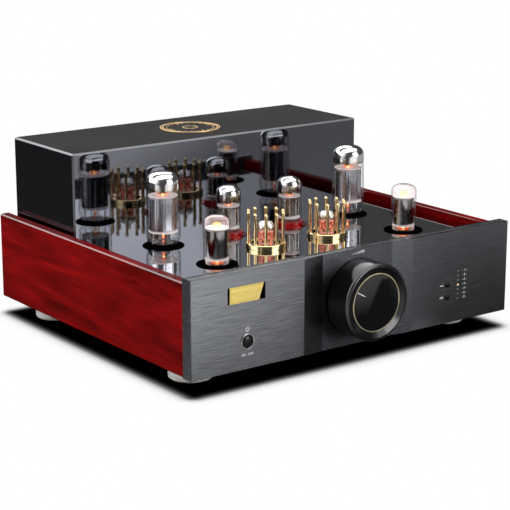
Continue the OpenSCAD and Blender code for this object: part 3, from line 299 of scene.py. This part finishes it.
surface("ceramic", (0.62, 0.60, 0.54), 0.45, 0.0, (200, 200, 200), 0.05)
surface("lamination", (0.10, 0.10, 0.105), 0.5, 0.6, (8, 900, 8), 0.3)
surface("copper", (0.62, 0.28, 0.12), 0.35, 0.8, (8, 8, 700), 0.25)
surface("insulator", (0.70, 0.68, 0.63), 0.4, 0.0, (200, 200, 200), 0.04)
surface("wire", (0.28, 0.018, 0.014), 0.45, 0.0, (200, 200, 200), 0.08)
glass()
surface("tube_metal", (0.46, 0.45, 0.46), 0.24, 1.0, (60, 60, 60), 0.08, 0.04)
surface("anode", (0.66, 0.65, 0.69), 0.20, 1.0, (30, 30, 30), 0.06, 0.03)
surface("dark_anode", (0.24, 0.21, 0.20), 0.17, 1.0, (60, 60, 60), 0.15, 0.04)
surface("smoked", (0.34, 0.31, 0.30), 0.07, 1.0, (30, 30, 30), 0.10, 0.02)
surface("bright_wire", (0.88, 0.87, 0.85), 0.25, 1.0, (200, 200, 200), 0.05)
# The micas give off a faint light of their own: painted glow for the heater's light on them, brighter on the
# rectifier's upper mica.
surface("mica", (0.90, 0.83, 0.80), 0.3, 0.0, (500, 500, 500), 0.10, 0.06,
        Emission_Color=(1.0, 0.86, 0.82, 1), Emission_Strength=0.22)
surface("mica_lit", (0.92, 0.86, 0.82), 0.3, 0.0, (500, 500, 500), 0.08, 0.06,
        Emission_Color=(1.0, 0.90, 0.86, 1), Emission_Strength=0.3)
surface("base_red", (0.42, 0.004, 0.006), 0.12, 0.0, (80, 80, 80), 0.12, 0.02, Coat_Weight=0.6,
        Coat_Roughness=0.04)
surface("pointer_white", (0.86, 0.86, 0.84), 0.4, 0.0, (300, 300, 300), 0.03)
surface("mark", (0.80, 0.80, 0.78), 0.5, 0.0, (300, 300, 300), 0.04)
surface("engraved", (0.30, 0.19, 0.06), 0.45, 1.0, (300, 300, 300), 0.1)
glow("amber", (1.0, 0.66, 0.30), 0.45)
surface("unlit", (0.15, 0.14, 0.125), 0.3, 0.0, (400, 400, 400), 0.1)
glow("hot", (1.0, 0.60, 0.26), 5.0)
haze("ember", (0.35, 0.01, 0.005), (1.0, 0.27, 0.08), 1.3, 0.85, 0.0, (420, 420, 300))
# A pale glowing band at the foot of the rectifier's glass: painted glow on the glass.
haze("flare", (0.62, 0.30, 0.26), (1.0, 0.86, 0.82), 0.5, 0.05, 0.8, (200, 200, 200))
haze("halo", (1.0, 0.42, 0.16), (1.0, 0.74, 0.36), 1.1, 0.75, 0.0, (120, 120, 120))
# A pink veil under the rectifier's dome, glowing and densest at its rim: painted sheen on the glass.
haze("dome_rim_painted_sheen", (0.90, 0.58, 0.58), (1.0, 0.86, 0.86), 0.5, 0.08, 0.55)
haze("flame", (0.06, 0.002, 0.002), (1.0, 0.25, 0.14), 0.85, 0.9, 0.6, (380, 380, 380))
haze("coals", (0.60, 0.03, 0.02), (1.0, 0.34, 0.12), 1.2, 0.95, 0.25, (600, 600, 600))
haze("glimmer", (0.75, 0.03, 0.01), (1.0, 0.26, 0.05), 1.3, 0.5, 0.2, (300, 300, 300))
# The glass stem's pale patches and faint glow are painted glints.
haze("stem", (0.16, 0.12, 0.10), (0.95, 0.93, 0.91), 0.03, 0.15, 0.6, (420, 420, 260))


# ------------------------------------------------------------------ pieces

def center(node):
    """The middle of a CAD node's box."""
    low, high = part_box(node)
    return (low + high) / 2


CREASE = math.radians(35)


def piece(name, bm, finish, body, at):
    """A new piece from a bmesh in millimetres about the point at, which is in metres."""
    bmesh.ops.scale(bm, vec=(MM, MM, MM), verts=bm.verts)
    bmesh.ops.recalc_face_normals(bm, faces=bm.faces)
    for face in bm.faces:
        face.smooth = True
    for edge in bm.edges:
        edge.smooth = len(edge.link_faces) != 2 or edge.calc_face_angle(0) < CREASE
    mesh = bpy.data.meshes.new(name)
    bm.to_mesh(mesh)
    bm.free()
    mesh.materials.append(look[finish])
    obj = bpy.data.objects.new(name, mesh)
    bpy.context.scene.collection.objects.link(obj)
    obj.location = at
    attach(obj, body)


def lathe(profile, segments=72, closed=False, into=None):
    """Turns (radius, height) points about Z. A closed profile makes a ring."""
    bm = into or bmesh.new()
    rings = []
    for radius, height in profile:
        if radius < 1e-6:
            rings.append([bm.verts.new((0, 0, height))])
        else:
            rings.append([bm.verts.new((radius * math.cos(math.tau * i / segments),
                                        radius * math.sin(math.tau * i / segments), height))
                          for i in range(segments)])
    pairs = list(zip(rings, rings[1:]))
    if closed:
        pairs.append((rings[-1], rings[0]))
    for low, high in pairs:
        for i in range(segments):
            j = (i + 1) % segments
            corners = [low[i % len(low)], low[j % len(low)], high[j % len(high)], high[i % len(high)]]
            corners = list(dict.fromkeys(corners))
            if len(corners) > 2:
                bm.faces.new(corners)
    return bm


def block(bm, low, high):
    """A box between two corners. Gives its vertices."""
    made = bmesh.ops.create_cube(bm, size=1.0)["verts"]
    size = [b - a for a, b in zip(low, high)]
    mid = [(a + b) / 2 for a, b in zip(low, high)]
    bmesh.ops.scale(bm, vec=size, verts=made)
    bmesh.ops.translate(bm, vec=mid, verts=made)
    return made


def rod(bm, radius, start, end):
    """A round rod between two points."""
    start, end = Vector(start), Vector(end)
    made = bmesh.ops.create_cone(bm, cap_ends=True, segments=14, radius1=radius, radius2=radius,
                                 depth=(end - start).length)["verts"]
    turn = (end - start).to_track_quat("Z", "Y").to_matrix().to_4x4()
    bmesh.ops.transform(bm, matrix=Matrix.Translation((start + end) / 2) @ turn, verts=made)


def spin(verts, bm, angle, axis):
    """Turns vertices about an axis through the bmesh's origin."""
    bmesh.ops.rotate(bm, cent=(0, 0, 0), matrix=Matrix.Rotation(angle, 3, axis), verts=verts)


def dress(name, *finishes):
    """Puts these finishes in a CAD node's material slots. Its faces use the first one."""
    mesh = nodes[name].data
    mesh.materials.clear()
    for finish in finishes:
        mesh.materials.append(look[finish])


def paint(name, default, *rules):
    """Gives each face of a CAD node the finish of the first rule that its middle and normal pass."""
    dress(name, default, *(rule[1] for rule in rules))
    for face in nodes[name].data.polygons:
        place = face.center
        face.material_index = next((i for i, rule in enumerate(rules, 1) if rule[0](place, face.normal)), 0)


DRESS = {
    "chassis_tray": "sheet_steel", "bottom_plate": "plate_steel", "rear_panel": "plate_steel",
    "top_deck": "deck_mirror", "case_screws": "plain_steel", "feet": "silver_painted_reflection", "foot_pads": "rubber",
    "cover_badge": "satin_gold", "name_plate": "plate_gold",
    "knob_ring": "ring_gold", "knob_disc": "disc_black", "volume_pot": "plain_steel",
    "pot_shaft": "plain_steel", "power_bezel": "bright_wire", "power_button": "gloss_black",
    "upper_button": "gloss_black", "lower_button": "gloss_black", "switches": "black_plastic",
    "front_board": "circuit_board", "main_board": "circuit_board", "board_standoffs": "plain_steel",
    "capacitors": "capacitor", "wire_harness": "wire",
    "transformer_cores": "lamination", "transformer_coils": "copper",
    "tube_sockets": "ceramic", "cage_rings": "gold", "cage_posts": "gold",
    "signal_jacks": "gold", "jack_insulators": "insulator", "mains_inlet": "black_plastic",
    "fuse_drawer": "black_plastic", "speaker_posts": "gold", "speaker_cap_1": "base_red",
    "speaker_cap_2": "black_plastic", "speaker_cap_3": "base_red", "speaker_cap_4": "black_plastic",
}
for name, finish in DRESS.items():
    dress(name, finish)

panel_low, panel_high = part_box("front_panel")
deck_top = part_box("top_deck")[1].z
face_y = panel_low.y
plate_low, plate_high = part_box("name_plate")
dish_y = face_y + 3.5 * MM


def is_bevel(c, n):
    """A narrow chamfer between two of a box's faces."""
    return sum(abs(part) > 0.6 for part in n) == 2


def in_pocket(c, n):
    """The floor and walls of the name plate's pocket."""
    wide = 6 * MM
    around = (plate_low.x - wide < c.x < plate_high.x + wide
              and plate_low.z - wide < c.z < plate_high.z + wide)
    return around and face_y + 0.1 * MM < c.y < face_y + 2 * MM


def on_panel_rim(c, n):
    """The chamfers round the front panel's outer edges."""
    rim = 2 * MM
    at_edge = min(c.x - panel_low.x, panel_high.x - c.x, c.z - panel_low.z, panel_high.z - c.z) < rim
    return at_edge and n.y < -0.5 and abs(n.y) < 0.95


def on_panel_top(c, n):
    """The front panel's narrow top face."""
    return n.z > 0.95 and panel_high.z - c.z < MM


def in_dish(c, n):
    """The floor of the shallow dish behind the knob."""
    return abs(c.y - dish_y) < MM / 2 and n.y < -0.95


def on_dish_slope(c, n):
    """The dish's sloping side at its right end, which faces left."""
    return face_y < c.y < dish_y + MM / 2 and n.y < -0.5 and n.x < -0.02


def on_top(c, n):
    """A face that looks up."""
    return n.z > 0.9


def by_driver(c, n):
    """Within a driver tube's trim ring."""
    return any(math.hypot(c.x - mid.x, c.y - mid.y) < 22 * MM for mid in driver_mids)


def on_wood_edge(c, n):
    """The rounded edges between a side panel's flat faces."""
    return min(abs(n.x), abs(n.z)) > 0.3


def on_knob_cone(c, n):
    """The knob's conical front."""
    return -0.95 < n.y < -0.2


def is_lit(c, n):
    """The one light that is on."""
    return abs(c.z - light_zs[LIT]) < light_step / 2


driver_mids = [center(f"driver_tube_{side}_core") for side in SIDES]
# The seven lights stand in a column. They count from 0 at the top, so the one that is on is the fourth.
LIGHTS, LIT = 7, 3
LIGHT_R = 1.1 * MM
lights_low, lights_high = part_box("indicator_lights")
light_step = (lights_high.z - lights_low.z - 2 * LIGHT_R) / (LIGHTS - 1)
light_zs = [lights_high.z - LIGHT_R - i * light_step for i in range(LIGHTS)]

# The rim chamfers, the top face, the dish's floor and its slope take darker copies of the panel metal:
# painted shade.
paint("front_panel", "panel_metal", (in_pocket, "ring_black"), (on_panel_rim, "panel_bevel_painted_shade"),
      (on_panel_top, "panel_painted_shade"), (in_dish, "panel_dish_painted_shade"), (on_dish_slope, "panel_painted_shade"))
# The cover's chamfers take a lighter copy of its metal: painted highlight.
paint("transformer_cover", "cover_mirror", (is_bevel, "cover_bevel_painted_highlight"), (on_top, "cover_top"))
paint("socket_rings", "ring_black", (by_driver, "ring_red"))
for side in SIDES:
    paint(f"side_panel_{side}", "wood", (on_wood_edge, "wood_edge"))
paint("knob_body", "knob_black", (on_knob_cone, "turned_grey"))
paint("indicator_lights", "unlit", (is_lit, "amber"))


# ------------------------------------------------------------------ tubes

# Sizes in millimetres, except that the micas and the film's edge are at shares of the tube's height above
# the deck. base is the top of the base, cap the dome's height, top_r the glass's outer radius under the
# dome, film its edge, fade and brown, and plate the anode's half width and half depth.
KINDS = {
    "power": dict(
        base=2.0, base_look="ring_black", micas=(0.195, 0.676), high_look="mica", cap=12, top_r=17.4,
        film=(0.75, 1.6, 0.35), specks=0.0, plate=(15.0, 10.5), anode="anode", ribs="anode", rib_r=0.6,
        hot_r=1.4),
    "driver": dict(
        base=4.2, base_look="base_red", micas=(0.146, 0.589), high_look="mica", cap=11, top_r=13.5,
        film=(0.665, 2.6, 0.5), specks=0.0, plate=(10.9, 6.5), anode="dark_anode", ribs="bright_wire",
        rib_r=0.6, hot_r=0.8),
    "rectifier": dict(
        base=0.6, base_look="ring_black", micas=(0.11, 0.73), high_look="mica_lit", cap=9, top_r=13.7,
        film=None, anode="smoked", ribs=None, hot_r=1.2),
    "input": dict(
        base=None, base_look="ring_black", micas=(0.145, 0.618), high_look="mica", cap=7, top_r=9.3,
        film=(0.66, 1.2, 0.3), specks=1.2, plate=(7.0, 5.0), anode="dark_anode", ribs="bright_wire",
        rib_r=0.42, hot_r=0.8),
}
MICA_T = 0.6
PLATE_GAP = 2
GLASS_T = 1.15
FILM_IN = 0.3
DOME_SQUARE = 2.6
STEM_R = 1.5
PINS_R = (4.2, 12)
BASE_BOTTOM = -10.55
SLACK = 0.05


def dome(radius, shoulder, top, low, inset=GLASS_T):
    """Profile inset from a dome with square shoulders, from height low to the top."""
    wall = radius - inset
    steps = 24
    points = [(wall, low)] if low < shoulder else []
    for i in range(steps + 1):
        a = math.pi / 2 * i / steps
        z = shoulder + (top - inset - shoulder) * math.sin(a) ** (2 / DOME_SQUARE)
        if z >= low:
            points.append((wall * max(math.cos(a), 0.0) ** (2 / DOME_SQUARE), z))
    points[-1] = (0.0, points[-1][1])
    return points


def blob(radius, low, high):
    """Closed egg-shaped shell of revolution between two heights."""
    mid, half = (low + high) / 2, (high - low) / 2
    steps = 6
    return lathe([(radius * math.sin(math.pi * i / steps), mid - half * math.cos(math.pi * i / steps))
                  for i in range(steps + 1)], 24)


def rib_places(a, b):
    """Points just outside a plate of half width a and half depth b, where its ribs stand."""
    flat = a - b
    bow = math.radians(40)
    out = b + 0.2
    ends = [(s * (flat + out * math.cos(bow)), t * out * math.sin(bow)) for s in (-1, 1) for t in (-1, 1)]
    return ends + [(s * flat, t * out) for s in (-1, 1) for t in (-1, 1)]


def paint_tube(body, spec, at, low_mica, high_mica, foot, head):
    """Finishes for a tube's two CAD nodes. The core's pins, stem and wires stay bright."""
    def place(c):
        return math.hypot(c.x - at.x, c.y - at.y) / MM, (c.z - at.z) / MM

    def is_mica(bottom):
        def test(c, n):
            r, z = place(c)
            return bottom - SLACK < z < bottom + MICA_T + SLACK and (r > STEM_R or abs(n.z) > 0.9)
        return test

    def is_plate(c, n):
        return foot - 2 * SLACK < place(c)[1] < head + 2 * SLACK

    def is_base(c, n):
        r, z = place(c)
        is_pin = PINS_R[0] <= r <= PINS_R[1] and z <= BASE_BOTTOM
        return spec["base"] is not None and z < spec["base"] + SLACK and not is_pin

    dress(f"{body}_glass", "glass")
    paint(f"{body}_core", "bright_wire", (is_mica(high_mica), spec["high_look"]),
          (is_mica(low_mica), "mica"), (is_plate, spec["anode"]), (is_base, spec["base_look"]))


def tube(kind, side):
    """Finishes one tube and adds what its glass holds besides the CAD core."""
    spec = KINDS[kind]
    body = f"{kind}_tube_{side}"
    low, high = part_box(f"{body}_glass")
    at = Vector(((low.x + high.x) / 2, (low.y + high.y) / 2, deck_top))
    height = (high.z - deck_top) / MM
    shoulder = height - spec["cap"]
    low_mica, high_mica = (share * height for share in spec["micas"])
    foot, head = low_mica + PLATE_GAP, high_mica - PLATE_GAP
    top = high_mica + MICA_T
    paint_tube(body, spec, at, low_mica, high_mica, foot, head)

    def add(part, bm, finish):
        piece(f"{body}_{part}", bm, finish, body, at)

    if spec["ribs"]:
        a, b = spec["plate"]
        seam = 0.5
        bm = bmesh.new()
        for x, y in rib_places(a, b):
            rod(bm, spec["rib_r"], (x, y, foot), (x, y, head))
        for s in (-1, 1):
            x = s * (a + 0.1)
            block(bm, (x - seam, -seam, foot), (x + seam, seam, head))
        add("seams", bm, spec["ribs"])

    add("heater", blob(spec["hot_r"], top, top + 2.4 * spec["hot_r"]), "hot")
    if spec["film"]:
        share, fade, brown = spec["film"]
        edge = share * height
        film = f"{kind}_film"
        if film not in look:
            getter(film, edge, fade, brown, spec["specks"])
        add("film", lathe(dome(spec["top_r"], shoulder, height, edge - fade, FILM_IN)), film)
    if kind == "power":
        add("halo", blob(6.5, top - 0.3, top + 5.5), "ember")
        for i, (r, z, half) in enumerate(((2.1, -0.5, 2.2), (1.9, -6.5, 2.0), (1.3, -11.0, 1.4)), 1):
            add(f"ember_{i}", blob(r, low_mica + z - half, low_mica + z + half), "coals")
        add("low_heater", blob(0.9, low_mica - 5, low_mica - 2.4), "hot")
    if kind in ("power", "driver"):
        flare = spec["top_r"] * 0.62
        rise = spec["base"] + 1.4
        neck = low_mica - 0.4
        add("stem", lathe([(flare, rise), (flare * 0.8, rise + 0.9), (flare * 0.5, rise + 2.2),
                           (flare * 0.4, neck), (0, neck)], 48), "stem")
        bm = bmesh.new()
        block(bm, (-2.0, -0.3, high_mica + 4), (2.0, 0.3, shoulder + 2))
        add("holder", bm, "tube_metal")
    if kind == "driver":
        add("glow", blob(4.5, top - 0.2, top + 3.4), "ember")
    if kind == "input":
        lid = high_mica + 0.9
        add("light", lathe([(0, 2.2), (7.2, 2.2), (7.9, 4.0), (7.9, lid), (0, lid)], 48), "flame")
    if kind == "rectifier":
        # Painted glow on the rectifier's glass: a veil under the dome, and a band round its foot.
        add("veil", lathe(dome(spec["top_r"] - 0.3, shoulder, height, top + 0.2)), "dome_rim_painted_sheen")
        add("halo", blob(5.5, top - 0.2, top + 6), "halo")
        add("ember", lathe([(0, 1.2), (6.4, 1.2), (7.0, 3.5), (6.4, 6.2), (0, 6.2)]), "glimmer")
        add("flare", lathe([(11.5, 0.9), (11.8, 3.0), (11.2, 5.6)]), "flare")
        add("low_heater", blob(2.2, 1.8, 5.2), "hot")


for kind in KINDS:
    for side in SIDES:
        tube(kind, side)


# ------------------------------------------------------------------ marks on the panel and the cover

MARK_T = 0.05


def words(name, text, x, z, size):
    """Small figures or ON and OFF on the face of the panel: x and z in metres, size in millimetres."""
    curve = bpy.data.curves.new(name, "FONT")
    curve.body = text
    curve.size = size * MM
    curve.align_x = "CENTER"
    curve.align_y = "CENTER"
    curve.extrude = MARK_T * MM / 2
    curve.materials.append(look["mark"])
    obj = bpy.data.objects.new(name, curve)
    bpy.context.scene.collection.objects.link(obj)
    obj.location = (x, face_y - MARK_T * MM / 2, z)
    obj.rotation_euler = (math.radians(90), 0, 0)
    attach(obj, OWN)


def flat_bar(bm, x0, z0, x1, z1):
    """An upright rectangle, MARK_T proud of the face that it is put on."""
    block(bm, (x0, -MARK_T, z0), (x1, 0, z1))


def flat_arc(bm, radius, width, start, end):
    """Arc of a thin ring in the XZ plane, angles in degrees anticlockwise from three o'clock."""
    steps = 28
    for i in range(steps):
        a, b = (math.radians(start + (end - start) * k / steps) for k in (i, i + 1))
        corners = [(r * math.cos(t), r * math.sin(t)) for r, t in
                   ((radius, a), (radius + width, a), (radius + width, b), (radius, b))]
        bm.faces.new([bm.verts.new((x, -MARK_T, z)) for x, z in corners])
    bmesh.ops.remove_doubles(bm, verts=bm.verts, dist=1e-4)


def mark(name, bm, x, z, y=face_y, finish="mark"):
    piece(name, bm, finish, OWN, (x, y, z))


# pointer in the groove of the knob's disc, which is cut for it at 150 degrees
disc_low, disc_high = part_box("knob_disc")
knob = (disc_low + disc_high) / 2
disc_r = (disc_high.x - disc_low.x) / 2 / MM
inner, outer, half_width = disc_r - 12.3, disc_r - 1.2, 0.42
bm = bmesh.new()
pointer = block(bm, (inner, -0.02, -half_width), (outer, 0.30, half_width))
spin(pointer, bm, -math.radians(150), "Y")
piece("pointer", bm, "pointer_white", "volume_knob", (knob.x, disc_low.y, knob.z))

# rising bars over the knob
BARS, BAR_STEP, BAR_HALF = 9, 1.9, 0.55
BAR_FOOT, BAR_TOP, BAR_RISE = -1.6, -1.2, 0.36
bm = bmesh.new()
for i in range(BARS):
    x = (i - (BARS - 1) / 2) * BAR_STEP
    flat_bar(bm, x - BAR_HALF, BAR_FOOT, x + BAR_HALF, BAR_TOP + BAR_RISE * i)
mark("volume_bars", bm, knob.x, knob.z + 46.8 * MM, dish_y)

# open circle with a bar over the power button, ON and OFF under it
button = center("power_bezel")
bm = bmesh.new()
flat_arc(bm, 1.7, 0.55, 120, 420)
flat_bar(bm, -0.3, 0.4, 0.3, 2.7)
mark("power_sign", bm, button.x, button.z + 12.5 * MM)
words("on_off_label", "ON  OFF", button.x, button.z - 13.4 * MM, 3.7)

# a number by each light, and one and two bars by the small buttons
for i, z in enumerate(light_zs, 1):
    words(f"light_label_{i}", f"- {i} -", lights_high.x + 8.6 * MM, z, 3.8)
for count, which in enumerate(("upper", "lower"), 1):
    mid = center(f"{which}_button")
    bm = bmesh.new()
    for i in range(count):
        flat_bar(bm, -2.3, i * 1.3 - 0.35, 2.3, i * 1.3 + 0.35)
    mark(f"{which}_button_sign", bm, mid.x - 8.5 * MM, mid.z)

# engraved line inside the name plate's edge, open at the plate's slanted right end
w, h = (plate_high.x - plate_low.x) / MM, (plate_high.z - plate_low.z) / MM
line, inset = 0.28, 1.3
bm = bmesh.new()
flat_bar(bm, inset, h - inset - line, w - inset - 0.6, h - inset)
flat_bar(bm, inset, inset, w - 8.2, inset + line)
flat_bar(bm, inset, inset, inset + line, h - inset)
mark("plate_line", bm, plate_low.x, plate_low.z, plate_low.y, "engraved")

# small ring and short ticks inside the badge on the cover
badge_low, badge_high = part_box("cover_badge")
badge = (badge_low + badge_high) / 2
badge_r = (badge_high.x - badge_low.x) / 2 / MM
TICKS, TICK_HALF, TICK_T = 24, 0.35, 0.25
tick_end = badge_r - 6.2
bm = bmesh.new()
for i in range(TICKS):
    long = 5.0 if i % 6 == 0 else 2.6
    tick = block(bm, (tick_end - long, -TICK_HALF, 0), (tick_end, TICK_HALF, TICK_T))
    spin(tick, bm, math.tau * i / TICKS, "Z")
lathe([(8.0, 0), (9.0, 0), (9.0, TICK_T), (8.0, TICK_T)], 64, True, bm)
piece("badge_ticks", bm, "satin_gold", OWN, (badge.x, badge.y, badge_low.z))


# ------------------------------------------------------------------ floor, light, camera

FLOOR_R = 9.0
FLOOR_DROP = 0.2 * MM
FLOOR_GREY = 0.80
SHADOW_INSET = 10 * MM
SHADOW_REACH = 34 * MM
# How light the floor is at shares of that reach.
SHADOW_FADE = ((0, 0.0), (0.15, 0.012), (0.3, 0.12), (0.44, 0.47), (0.6, 0.80), (0.75, 0.91), (0.88, 0.97),
               (1, 1.0))
# A view ray that the panel mirrors goes this far sideways for each metre that it comes forward.
VIEW_SIDEWAYS = 0.726


def past_shadow(made, x, y):
    """0 under the case and round its foot, and 1 beyond the contact shadow."""
    left_low, right_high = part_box("side_panel_left")[0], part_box("side_panel_right")[1]
    low = (left_low.x + SHADOW_INSET, face_y + SHADOW_INSET)
    high = (right_high.x - SHADOW_INSET, right_high.y - SHADOW_INSET)
    squares = []
    for place, a, b in zip((x, y), low, high):
        off = made.math("ABSOLUTE", made.math("SUBTRACT", place, (a + b) / 2))
        gap = made.math("MAXIMUM", made.math("SUBTRACT", off, (b - a) / 2), 0.0)
        squares.append(made.math("POWER", gap, 2.0))
    far = made.math("SQRT", made.math("ADD", *squares))
    return made.ramp(made.spread(far, 0.0, 1.0, 0.0, SHADOW_REACH),
                     *((share, (shade,) * 3) for share, shade in SHADOW_FADE))


def shown_in_metal(made, x, y):
    """How bright the floor is in metal: white ahead of the object, less so on its left, far on its right
    and in a strip before the panel, and dark elsewhere. Dark flags stand in the white part, where the
    dish's lower left and the lower right of the knob's disc mirror them."""
    # across is where along the panel's face the eye sees a point of the floor, and tilted leans with depth
    across = made.math("ADD", x, made.math("MULTIPLY", made.math("SUBTRACT", y, face_y), VIEW_SIDEWAYS))
    tilted = made.math("ADD", across, made.math("MULTIPLY", made.math("ADD", y, 0.43), 0.34))
    before = made.spread(y, 1.0, 0.0, face_y, face_y + 0.03)
    flag = 0.0
    for side, left_edge, front_edge in ((across, (-0.074, -0.066), (-0.39, -0.34)),
                                        (across, (-0.045, -0.036), (-0.43, -0.36)),
                                        (tilted, (0.007, 0.011), (-0.475, -0.465))):
        dark = made.math("MULTIPLY", made.spread(side, 0.0, 0.85, *left_edge),
                         made.spread(y, 0.0, 1.0, *front_edge))
        flag = made.math("MAXIMUM", flag, dark)
    flag = made.math("MULTIPLY", flag, made.spread(across, 1.0, 0.0, 0.03, 0.06), before)
    slant = made.math("ADD", x, made.math("MULTIPLY", y, 1.136))
    ahead = made.math("MULTIPLY", made.math("POWER", made.spread(slant, 1.0, 0.0, -0.50, 0.05), 1.8),
                      made.spread(y, 1.0, 0.3, face_y - 0.3, face_y),
                      made.spread(x, 0.0, 1.0, -0.45, -0.25),
                      made.math("SUBTRACT", 1.0, flag))
    left = made.math("MULTIPLY", made.spread(x, 0.8, 0.0, -0.36, -0.28),
                     made.spread(y, 1.0, 0.0, -0.08, 0.0),
                     made.spread(y, 0.0, 1.0, -0.6, -0.4))
    near = made.math("MULTIPLY", made.spread(y, 0.0, 0.35, -0.27, -0.24), before,
                     made.spread(across, 0.0, 1.0, 0.03, 0.06),
                     made.spread(across, 1.0, 0.0, 0.09, 0.14))
    right = made.spread(x, 0.05, 0.38, 0.44, 0.50)
    return made.math("MAXIMUM", right, ahead, left, near)


def floor_material():
    """Pale floor that is white to the eye except for the dark contact shadow round and under the case."""
    made = Finish("floor", Roughness=0.9, Specular_IOR_Level=0.0)
    x, y, _ = made.split(made.coords())
    away = past_shadow(made, x, y)
    tone = made.add("ShaderNodeMix", data_type="RGBA", blend_type="MULTIPLY")
    tone.inputs["Factor"].default_value = 1.0
    made.link(away, tone.inputs["A"])
    tone.inputs["B"].default_value = (FLOOR_GREY, FLOOR_GREY, FLOOR_GREY, 1)
    made.link(tone.outputs["Result"], made.bsdf.inputs["Base Color"])
    white = made.add("ShaderNodeEmission")
    strength = made.math("MAXIMUM", made.rays(*EYE_RAYS), shown_in_metal(made, x, y))
    made.link(strength, white.inputs["Strength"])
    shown = made.math("MULTIPLY", made.rays(*EYE_RAYS, "Is Glossy Ray"), away)
    made.link(made.mix(shown, made.bsdf.outputs[0], white.outputs[0]), made.out.inputs[0])


floor_material()
bm = bmesh.new()
bmesh.ops.create_circle(bm, cap_ends=True, segments=64, radius=FLOOR_R)
mesh = bpy.data.meshes.new("floor")
bm.to_mesh(mesh)
bm.free()
mesh.materials.append(look["floor"])
floor = bpy.data.objects.new("floor", mesh)
bpy.context.scene.collection.objects.link(floor)
floor.location = (0, 0, -FLOOR_DROP)


def studio():
    """World that is white to the eye. To the object it is a dim room with a bright side in front and to
    the right, and a softer one from behind round to the left."""
    world = bpy.data.worlds.new("studio")
    bpy.context.scene.world = world
    world.use_nodes = True
    sky = Nodes(world.node_tree)
    x, y, z = sky.split(sky.add("ShaderNodeTexCoord").outputs["Generated"])
    angle = sky.math("ARCTAN2", x, sky.math("MULTIPLY", y, -1.0))
    sides = []
    # each side's strength, and the degrees from the front round to the right in which it rises and falls
    for strength, rise, fall in ((1.5, (-4, 6), (33, 46)), (0.9, (-178, -160), (-75, -55))):
        up = sky.spread(angle, 0.0, strength, *map(math.radians, rise))
        sides.append(sky.math("MULTIPLY", up, sky.spread(angle, 1.0, 0.0, *map(math.radians, fall))))
    low = sky.spread(z, 1.0, 0.0, 0.5, 0.75)
    room = sky.math("ADD", sky.math("MULTIPLY", sky.math("ADD", *sides), low), 0.07)
    background = sky.add("ShaderNodeBackground")
    sky.link(sky.math("MAXIMUM", sky.rays(*EYE_RAYS), room), background.inputs["Strength"])
    background.inputs["Color"].default_value = (1, 1, 1, 1)
    sky.link(background.outputs[0], sky.add("ShaderNodeOutputWorld").inputs[0])


studio()


def lamp(name, place, target, size, radiance):
    """A rectangular softbox: size in metres, radiance in watts per square metre and steradian."""
    data = bpy.data.lights.new(name, "AREA")
    data.shape = "RECTANGLE"
    data.size, data.size_y = size
    data.energy = radiance * math.pi * size[0] * size[1]
    obj = bpy.data.objects.new(name, data)
    bpy.context.scene.collection.objects.link(obj)
    obj.location = place
    obj.rotation_euler = (Vector(target) - Vector(place)).to_track_quat("-Z", "Y").to_euler()


lamp("front_softbox", (0.50, -1.62, 0.66), (0, 0, 0.15), (1.1, 1.2), 1.7)
lamp("front_strip", (0.41, -1.34, 0.205), (0, -0.2, 0.07), (0.34, 0.21), 5.5)
lamp("left_softbox", (-1.36, 0.63, 0.7), (0, 0, 0.1), (2.0, 1.2), 1.5)
lamp("top_softbox", (0.0, -0.1, 1.4), (0, -0.05, 0.1), (2.4, 1.3), 1.9)
lamp("back_softbox", (0.25, 1.45, 1.2), (0, 0, 0.1), (2.2, 0.8), 2.8)

LENS, SENSOR = 117.37, 36.0
CAMERA_AT = (-1.06153, -1.44356, 0.53345)
CAMERA_AIM = (0.5755, 0.7792, -0.2482)
camera_data = bpy.data.cameras.new("camera")
camera_data.lens = LENS
camera_data.sensor_width = SENSOR
camera = bpy.data.objects.new("camera", camera_data)
bpy.context.scene.collection.objects.link(camera)
camera.location = CAMERA_AT
camera.rotation_euler = Vector(CAMERA_AIM).to_track_quat("-Z", "Y").to_euler()
bpy.context.scene.camera = camera
bpy.context.scene.view_settings.view_transform = "Standard"
